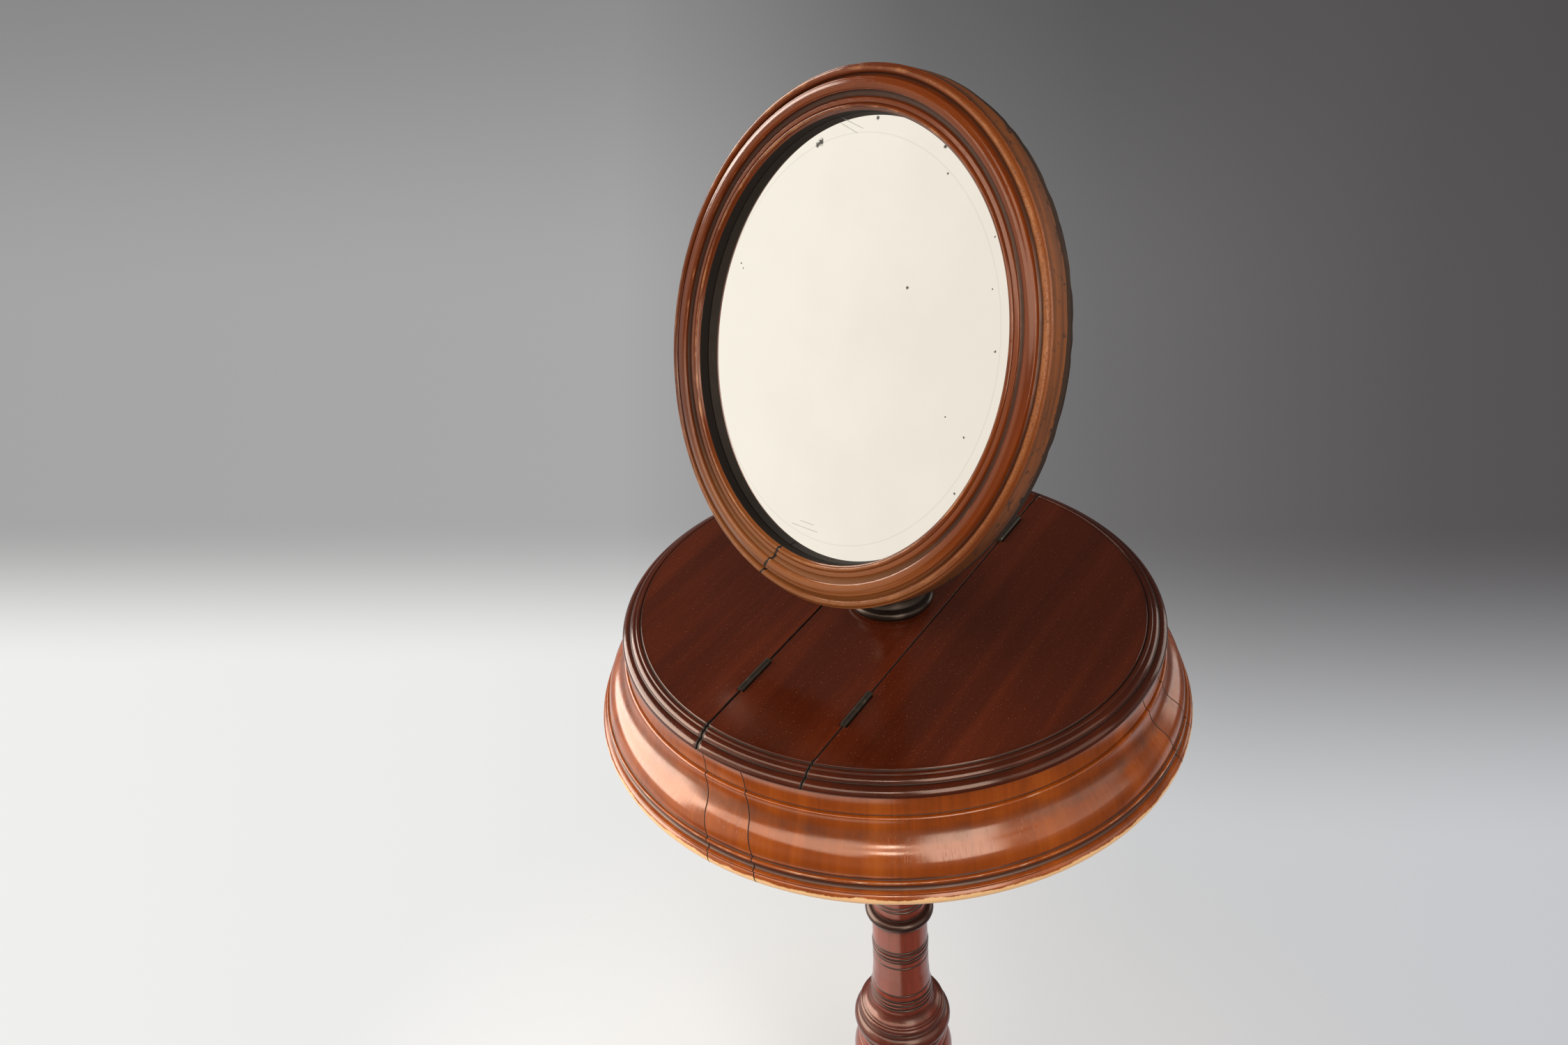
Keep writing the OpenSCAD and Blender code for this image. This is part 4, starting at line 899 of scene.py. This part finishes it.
knob("clamp_knob", "clamp", 10, lambda g: np.stack(
    [g[..., 0], g[..., 2] + STEM_R + 0.3 + SCREW_OUT, TOP + COLLAR_H * 0.62 - g[..., 1]], -1))
knob("tilt_knob", "tilt_knob", 11, lambda g: np.stack(
    [g[..., 2] + PIN_OUT, g[..., 0], g[..., 1]], -1) @ SWIVEL.T + [0, 0, PIVOT_Z])

for node in ("guide_bush", "clamp_screw", "stem_foot", "swivel_fork", "tilt_pin", "mirror_plate",
             "hinge_leaves_fixed", "hinge_leaves_left", "hinge_leaves_right", "hinge_pins"):
    if node == "tilt_pin" or "hinge" in node:
        smoothed(node, dull_brass, "old_brass")
    else:
        smoothed(node, brass, "brass")

# %% [markdown]
# ## The oval frame
#
# The frame is one moulding carried round an oval. A scaled copy of the oval would make the moulding
# narrower at the sides than at the top, so each point is set in from the ellipse along its own normal,
# by the same width everywhere. Depth counts back from the outer bead. The outer side and its bead have
# been knocked about for a century, which a sum of long and short waves in the width and depth gives.

# %% The oval
def oval(t, inset):
    """(A cos t, B sin t) less inset times the unit normal (B cos t, A sin t) / length."""
    nx, nz = FRAME_B * np.cos(t), FRAME_A * np.sin(t)
    length = np.hypot(nx, nz)
    return FRAME_A * np.cos(t) - inset * nx / length, FRAME_B * np.sin(t) - inset * nz / length


def waves(t, seed, low, high):
    """A sum of 24 sines, each with a whole number of waves round the oval and a phase from a seed."""
    rng = np.random.default_rng(seed)
    number = rng.integers(low, high, 24)[:, None]
    phase = rng.uniform(0, 6.3, 24)[:, None]
    return (np.sin(number * t + phase) / np.sqrt(number / low)).sum(0) / math.sqrt(24)


def round_oval(name, t, inset, depth, closed, sharp=34.0, **marks):
    """Rows of (inset, depth) round the oval, put where the mirror stands; depth 0 is the outer bead's top.
    Closed rows make a ring; otherwise a point on the middle line closes each end. The fibres are upright,
    unless grain is among the marks."""
    x, z = oval(t, inset)
    grid = np.stack([x, depth - RIM_FRONT + 0 * x, z], -1)
    if not closed:
        ends = grid[[0, -1]] * [0, 1, 0]
        grid = np.vstack([ends[:1], grid, ends[1:]])
    marks = {"grain": (grid * [1, 1, 1 / 24]).reshape(-1, 3), "face": grid.reshape(-1, 3), **marks}
    return skin(name, on_mirror(grid), quads(*grid.shape[:2], closed, True), (), marks, sharp)


# %% Frame
w, d, rebate = FRAME_W, FRAME_D, 9.7
frame_members = outline(
    [[w, rebate], [w, 1.6], [w - 0.9, 0.9]], arc((w - 2.7, 0.7), 1.6, 330, 210, 5),
    [[w - 4.4, 0.6], [w - 4.8, -0.3], [w - 7.8, 0.2], [w - 8.1, 1.1]],
    arc((w - 10.4, -2.6), 4.4, 70, 118, 8), arc((w - 15.6, 2.6), 5, 312, 232, 10),
    [[w - 20.4, -0.9], [8.6, 0.2], [8.4, 1.2], [6.4, 2.8]],
    arc((3.7, 2.5), 2.5, 10, -170, 12),
    [[1.1, 3.2], [0, 3.6], [0, d - 0.6], [0.6, d], [w - 8, d], [w - 8, rebate]])
points, relief, run, out = section(frame_members, True, 0.4, 1.3)
n = 500
t = circle(n)[None]
knock = 0.22 * waves(t[0], 3, 6, 70)[None] * np.clip(1 - points[:, :1] / 9, 0, 1)
worn_side = np.clip(np.cos(t - 0.35), 0, 1) ** 2 * np.clip(1 - np.abs(points[:, :1] - 3.5) / 4, 0, 1)
knock = np.clip(knock - 0.25 * worn_side * (1 + waves(t[0], 9, 20, 90)[None]), -0.8, 0)
inset = points[:, :1] + out[:, :1] * knock
depth = points[:, 1:] + out[:, 1:] * knock
lining = (points[:, 0] > w - 0.35) & (points[:, 1] > 1.7) & (points[:, 1] < rebate + 0.1)
band = (points[:, 0] < 0.3) & (points[:, 1] > 3.2)
girth = 165 / 24
fibre = np.stack([girth * np.cos(t) + 0 * inset, girth * np.sin(t) + 0 * inset,
                  np.repeat(run[:, None], n, 1)], -1)
frame_ring = round_oval(
    "mirror_frame", t, inset, depth, True, relief=np.repeat(relief, n, 0), grain=fibre.reshape(-1, 3),
    rubbed=np.clip(1.6 * worn_side - 0.1, 0, 1).ravel(), lining=np.repeat(lining, n), band=np.repeat(band, n))

# %% Glass and backboard
GLASS_IN, BEVEL_W, BEVEL_T, GLASS_T = 21.6, 22.0, 1.6, 5.0
front = rebate + 0.1 - BEVEL_T * (1 - (w - GLASS_IN) / BEVEL_W)
levels = np.array([[GLASS_IN + BEVEL_W, front], [GLASS_IN, front + BEVEL_T], [GLASS_IN, front + GLASS_T]])
glass = round_oval("mirror_glass", circle(360)[None], levels[:, :1], levels[:, 1:], False, 1.5)

ragged = 1.3 + 0.9 * np.clip(waves(t[0], 21, 8, 80), 0, 1.6)[None]
levels = np.array([[0, 22.5], [0, 26.3], [0.5, 27.0], [1.4, 27.5]])
backboard = round_oval("backboard", t, ragged + levels[:, :1], levels[:, 1:], False, 40)
screw_head = [[0, -1.7], [1.3, -1.7], [2.75, -0.05], [2.75, 0.6], [0, 0.6]]
sinks = []
for i in range(8):
    px, pz = oval(np.radians(45.0 * i), 11.0)
    sinks.append(turned("cutter", screw_head, 24, 0, 9, place=lambda q, px=px, pz=pz: on_mirror(np.stack(
        [q[..., 0] + px, q[..., 2] - PIVOT_BACK, q[..., 1] + pz], -1))))
carved(backboard, sinks)

# %% [markdown]
# ## Finish of the frame, the glass and the hidden wood
#
# The frame wears the same polish, with three things of its own: the sight edge is lined in black, the
# narrow outer side has lost most of its colour in blotches, and one glued joint has opened at the lower
# left. Each is a mask: two come from marks on the mesh, and the open joint is the distance to a line.
# The glass is silver with a faint warm cast, painted paler at the left and darker towards the right as
# painted shade, with a painted grey line along its bevel, and with the dark specks and fine scratches of its
# age.

# %% Frame finish
def frame_details(r, colour, gloss, bump):
    """Crack = near a line that noise bends; band = tan to dark by noise, black at the back edge."""
    face = r.mark("face", vector=True)
    axis = r.dot(face, (0.8736, 0.0, -0.4866))
    height, depth = r.part(face, 2), r.part(face, 1) + RIM_FRONT
    bend = r.noise(face, 0.09, 2) - 0.5
    crack = (1.0 - r.smooth(abs(axis - 61.0 + bend * 4.0), 0.7, 1.2)) * r.smooth(0.0 - height, 128, 134)
    band, lining, rubbed = r.mark("band"), r.mark("lining"), r.mark("rubbed")
    patch = r.smooth(r.noise(r.mark("grain", vector=True), 0.16, 5, 0.6, 0.5), 0.38, 0.62)
    spots = r.smooth(r.noise(face, 0.16, 5, 0.7), 0.57, 0.64)
    # Painted light: the lower part of the frame is painted paler gold, where light from above falls on it.
    colour = r.mix(r.smooth(0.0 - height, 80, 165) * 0.5, colour, paint(170, 104, 54))
    tan = r.mix(patch, paint(78, 38, 8), paint(128, 66, 14))
    tan = r.mix(spots * 0.8, tan, paint(30, 16, 9))
    colour = r.mix(band * 0.92, colour, tan)
    back = r.smooth(depth + spots * 2.5 + patch * 1.6, FRAME_D - 3.6, FRAME_D - 2.6)
    colour = r.mix(back, colour, paint(17, 13, 11))
    pits = r.smooth(r.noise(face, 0.8, 4, 0.75), 0.50, 0.62) * rubbed
    colour = r.mix(rubbed * 0.7, colour, r.mix(pits, paint(158, 92, 40), paint(78, 38, 16)))
    colour = r.mix(lining, colour, paint(12, 13, 11))
    colour = r.mix(crack, colour, paint(10, 6, 5))
    gloss = gloss + band * 0.42 + lining * 0.6 + rubbed * 0.15 + crack * 0.3 + back * 0.2
    return colour, gloss, bump - crack * 6.0 - pits * 2.5 - spots * band * 1.5


frame_wood = wood("frame_mahogany", (74, 27, 8), (110, 46, 13), (140, 66, 21), (206, 138, 88),
                  wear_and_glint_from=0.7, streaks=0.8, shine=0.55, rough=0.15, wax_and_shade_to=0.7,
                  wax_and_shade_colour=(26, 12, 7), extra=frame_details)
dress(frame_ring, "mirror", frame_wood, "side_wood", "mirror_frame")

# %% Old mirror glass
SPECKS = [(-56.9, 121.8, 2.0), (-59.5, 119.4, 1.5), (-12.8, 144.5, 1.2), (45.5, 136.5, 1.2),
          (52.2, 121.3, 0.7), (40.5, 47.5, 0.9), (-109.9, 28.8, 0.6), (-107.2, 26.0, 0.5),
          (116.9, 26.7, 0.7), (109.3, -30.0, 0.7), (112.1, -66.1, 0.7), (92.0, -22.0, 0.5),
          (104.5, 62.0, 0.5), (97.0, 92.0, 0.6)]
SCRATCHES = [(-48.1, 140.7, -21.9, 136.0), (-44.0, 136.6, -26.0, 132.4), (-15.8, -132.4, 11.0, -130.2),
             (-9.0, -128.0, 6.0, -126.6)]


def old_glass():
    """Dark where a point lies within a speck's radius, or within 0.4 mm of a scratch between its ends.
    Specks are (x, z, radius) and scratches (x, z, x, z), in mm from the middle of the glass."""
    r = Recipe("silvered_glass")
    face = r.mark("face", vector=True)
    rough_edge = r.noise(face, 0.9, 4, 0.7) - 0.5
    x, z = r.part(face, 0), r.part(face, 2)
    dark = 0.0
    for sx, sz, size in SPECKS:
        away = ((x - sx) * (x - sx) + (z - sz) * (z - sz)) ** 0.5
        dark = (1.0 - r.smooth(away + rough_edge * (size * 3.2), size * 0.6, size * 1.4)) + dark
    scratch = 0.0
    for ax, az, bx, bz in SCRATCHES:
        length = math.hypot(bx - ax, bz - az)
        ux, uz = (bx - ax) / length, (bz - az) / length
        along = (x - ax) * ux + (z - az) * uz
        off = abs((x - ax) * -uz + (z - az) * ux + rough_edge * 0.5)
        inside = r.smooth(along, 0, 2) * (1.0 - r.smooth(along, length - 2, length))
        scratch = (1.0 - r.smooth(off, 0.1, 0.4)) * inside + scratch
    edge = ((x * x) / (FRAME_A - GLASS_IN) ** 2 + (z * z) / (FRAME_B - GLASS_IN) ** 2) ** 0.5
    haze = r.smooth(edge + rough_edge * 0.05, 0.93, 1.0)
    fox = r.smooth(r.noise(face, 0.35, 5, 0.75) + edge * 0.12, 0.80, 0.90)
    shade = (dark + scratch * 0.35 + fox * 0.5) * 0.9
    # Painted reflection: a faint grey line where the bevel meets the flat glass.
    bevel = (1.0 - r.smooth(abs(edge - 0.868), 0.001, 0.005)) * 0.16
    cloud = r.noise(face, 0.02, 3) - 0.5
    # Painted shade: the silver is paler at the left and darker towards the right, in broad clouds.
    silver = r.mix(r.smooth(x + cloud * 160, -110, 130), paint(255, 253, 250), paint(243, 240, 236))
    colour = r.mix(shade + haze * 0.12, silver, paint(44, 38, 30))
    colour = r.mix(bevel, colour, paint(178, 176, 170))
    return r.finish(Base_Color=colour, Metallic=1.0 - dark * 0.5,
                    Roughness=haze * 0.05 + scratch * 0.3 + 0.03)


dress(glass, "mirror", old_glass(), "silvered_glass", "mirror_glass")

# %% Hidden wood and screws
back_wood = wood("old_backboard", (24, 15, 10), (44, 28, 18), (66, 44, 29), (92, 66, 44),
                 rough=0.6, shine=0.3)
dress(backboard, "mirror", back_wood, "back", "backboard")
board_wood = wood("case_board", (70, 34, 19), (108, 58, 34), (140, 84, 52), (160, 110, 72),
                  rough=0.55, shine=0.3, fibre=(1000, 42, 1000))
block_wood = wood("glue_block", (104, 72, 44), (142, 106, 68), (170, 134, 92), (180, 150, 110),
                  rough=0.7, shine=0.2, fibre=(1000, 1000, 45))
finish_of = {"case_bottom": board_wood, "divider_left": board_wood, "divider_right": board_wood,
             "glass_blocks": block_wood}
for node, made in frame["nodes"].items():
    if not made.hide_render:
        finish = finish_of.get(node, dull_brass if "hinge" in node or "plate" in node else brass)
        for place in made.material_slots:
            place.material = finish
        print("repainted", node, finish.name)

# %% [markdown]
# ## Floor, backdrop and light
#
# The room is a pale paper sweep: light at the left and on the floor, falling to grey behind at the
# right. A real wall would stand in the way of a view from behind, so the floor is a disc that thins out
# between 0.3 and 0.8 m from the axis, and beyond it the world itself shows the sweep, painted by
# direction. Camera, glossy and transmission rays see that picture; what lights the object is a plain
# even world and seven lamps. Soft boxes stand at the left, in the middle, at the right and far right, and
# one behind gives a rim of light. A small round lamp adds a short sharp highlight, and the last lamp
# lights the frame alone.

# %% Camera
camera = placed("camera", bpy.data.cameras.new("camera"))
right, up = Vector((0.8487, 0.5249, -0.0651)), Vector((-0.2340, 0.4832, 0.8437))
forward = Vector((-0.4743, 0.7008, -0.5329))
spot = Vector((0.4176, -0.7533, 1.4555))
camera.matrix_world = Matrix([[right[i], up[i], -forward[i], spot[i]] for i in range(3)] + [[0, 0, 0, 1]])
camera.data.lens, camera.data.sensor_width = 31.68, 36
camera.data.clip_start, camera.data.clip_end = 0.05, 50
bpy.context.scene.camera = camera
print("camera lens", round(camera.data.lens, 2), "mm")

# %% Soft boxes
MIDDLE = Vector((0, 0, 0.85))


def soft_box(name, azimuth, elevation, distance, wide, high, strength, colour=(1.0, 0.97, 0.93)):
    """A box at azimuth (from the front towards +X) and elevation, in metres, turned to the object's middle;
    watts = strength x pi x area."""
    az, el = math.radians(azimuth), math.radians(elevation)
    way = Vector((math.cos(el) * math.sin(az), -math.cos(el) * math.cos(az), math.sin(el)))
    lamp = bpy.data.lights.new(name, "AREA")
    lamp.shape, lamp.size, lamp.size_y = "RECTANGLE", wide, high
    lamp.energy, lamp.color = strength * math.pi * wide * high, colour
    made = placed(name, lamp)
    made.location = MIDDLE + way * distance
    made.rotation_euler = (-way).to_track_quat("-Z", "Y").to_euler()
    made.visible_camera = False
    return made


box_left = soft_box("box_left", -74, 14, 2.2, 2.4, 1.7, 6.2)
others = [soft_box("box_middle", -14, 37, 2.2, 2.3, 0.95, 2.8),
          soft_box("box_right", 51, 27, 2.2, 0.95, 1.7, 4.6, (1.0, 0.98, 0.96)),
          soft_box("box_far_right", 92, 20, 2.4, 1.8, 1.6, 0.8, (1.0, 0.99, 0.98)),
          soft_box("box_rim", 152, 4, 2.2, 0.9, 1.2, 1.4),
          soft_box("small_round", 26, 36, 2.0, 0.26, 0.26, 14.0)]
others[-1].data.shape = "DISK"
box_frame = soft_box("box_frame", -100, 26, 2.0, 0.9, 1.1, 7.0)


def keep_off(lamp, *pieces):
    """A black flag in the studio: the lamp lights everything but these pieces."""
    flag = bpy.data.collections.new("flag_" + lamp.name)
    for piece in pieces:
        flag.objects.link(piece)
    for entry in flag.collection_objects:
        entry.light_linking.link_state = "EXCLUDE"
    lamp.light_linking.receiver_collection = flag


keep_off(box_left, glass, frame_ring)
for lamp in others:
    keep_off(lamp, glass)
own = bpy.data.collections.new("frame_only")
own.objects.link(frame_ring)
box_frame.light_linking.receiver_collection = own

# %% World and floor
def backdrop(r, way):
    """Across = direction . right / direction . forward, and drop the same with up, as on a sheet of glass
    before the camera's place. Grey wall above, pale floor below, and a slower fall on the right."""
    ahead, across, rise = (r.dot(way, axis) for axis in (forward, right, up))
    ahead = r.node("ShaderNodeMath", {"operation": "MAXIMUM"}, {0: ahead, 1: 0.35})
    across, drop = across / ahead, 0.0 - rise / ahead
    wall = r.ramp(across * 0.85 + 0.5, (0.0, (0.375,) * 3), (0.40, (0.395,) * 3), (0.47, (0.33,) * 3),
                  (0.58, (0.20,) * 3), (0.70, (0.150, 0.146, 0.148)), (0.80, (0.120, 0.115, 0.117)),
                  (0.90, (0.096, 0.091, 0.093)), (1.0, (0.088, 0.083, 0.085)))
    ground = r.ramp(across * 0.85 + 0.5, (0.0, (0.87, 0.87, 0.85)), (0.30, (0.84, 0.84, 0.83)),
                    (0.5, (0.78, 0.78, 0.775)), (0.72, (0.60, 0.605, 0.615)), (1.0, (0.57, 0.575, 0.60)))
    far = r.smooth(across, -0.1, 0.35) * 0.136 + 0.106
    share = r.smooth(drop, -0.003, far)
    top = r.smooth(drop, -0.15, -0.42) * (1.0 - r.smooth(across, 0.2, 0.5) * 0.7) * 0.35
    wall = r.mix(top, wall, (0.0, 0.0, 0.0))
    return r.mix(share, wall, ground)


world = bpy.data.worlds.new("studio")
bpy.context.scene.world = world
r = Recipe("studio", world)
generated = r.node("ShaderNodeTexCoord", {}, {}, 0)
way = r.node("ShaderNodeVectorMath", {"operation": "NORMALIZE"}, {0: generated})
seen = backdrop(r, way)
ahead, side, sink = r.dot(way, forward), r.dot(way, right), 0.0 - r.part(way, 2)
camera_ray, glossy, through = (r.node("ShaderNodeLightPath", {}, {}, i) for i in (0, 3, 6))
lit = r.smooth(side, 0.03, -0.03) * r.smooth(sink, 0.58, 0.68) * r.smooth(sink, 0.95, 0.85)
ground = r.mix(glossy, (0.84, 0.84, 0.83), r.mix(lit, (0.08, 0.08, 0.08), (1.25, 1.22, 1.2)))
room = r.mix(r.smooth(sink, -0.02, 0.3), (0.28, 0.28, 0.275), ground)
seen = r.mix(r.smooth(ahead - (1.0 - glossy) * 0.27, 0.55, 0.20), seen, room)
seen = r.mix(r.smooth(sink, -0.1, -0.5) * 0.75, seen, (0.02, 0.02, 0.02))
cream = r.smooth(r.dot(way, (-0.81, -0.58, 0.08)), 0.80, 0.92)
seen = r.mix(cream, seen, paint(247, 242, 231))
colour = r.mix(camera_ray + glossy + through, (0.27, 0.265, 0.26), seen)
shade = r.node("ShaderNodeBackground", {}, {"Color": colour, "Strength": 1.0})
r.node("ShaderNodeOutputWorld", {}, {"Surface": shade})


def floor_disc():
    """Rings of points from the axis out to 1.6 m, all 0.2 mm under the feet. It thins out with distance."""
    a = circle(96)
    ring = np.linspace(0, 1600, 17)[:, None]
    grid = np.stack([ring * np.cos(a), ring * np.sin(a), 0 * ring - 0.2 + 0 * a], -1)
    made = skin("floor", grid, quads(17, 96, False, True))
    r = Recipe("paper_floor")
    # Painted shade: the paper floor is darker to the right, where the light falls off.
    side = r.smooth(r.dot(r.place(), (0.8505, 0.5260, 0.0)), -0.1, 0.25)
    colour = r.mix(side, (0.70, 0.70, 0.695), (0.61, 0.615, 0.63))
    paper = r.node("ShaderNodeBsdfDiffuse", {}, {"Color": colour})
    clear = r.node("ShaderNodeBsdfTransparent", {}, {})
    thin = r.smooth(r.length(r.place()), 0.3, 0.8)
    shown = r.node("ShaderNodeMixShader", {}, {0: thin, 1: paper, 2: clear})
    r.node("ShaderNodeOutputMaterial", {}, {"Surface": shown})
    made.data.materials.append(r.owner)
    return made


floor = floor_disc()
floor.visible_glossy = False
bpy.context.scene.view_settings.view_transform = "Standard"
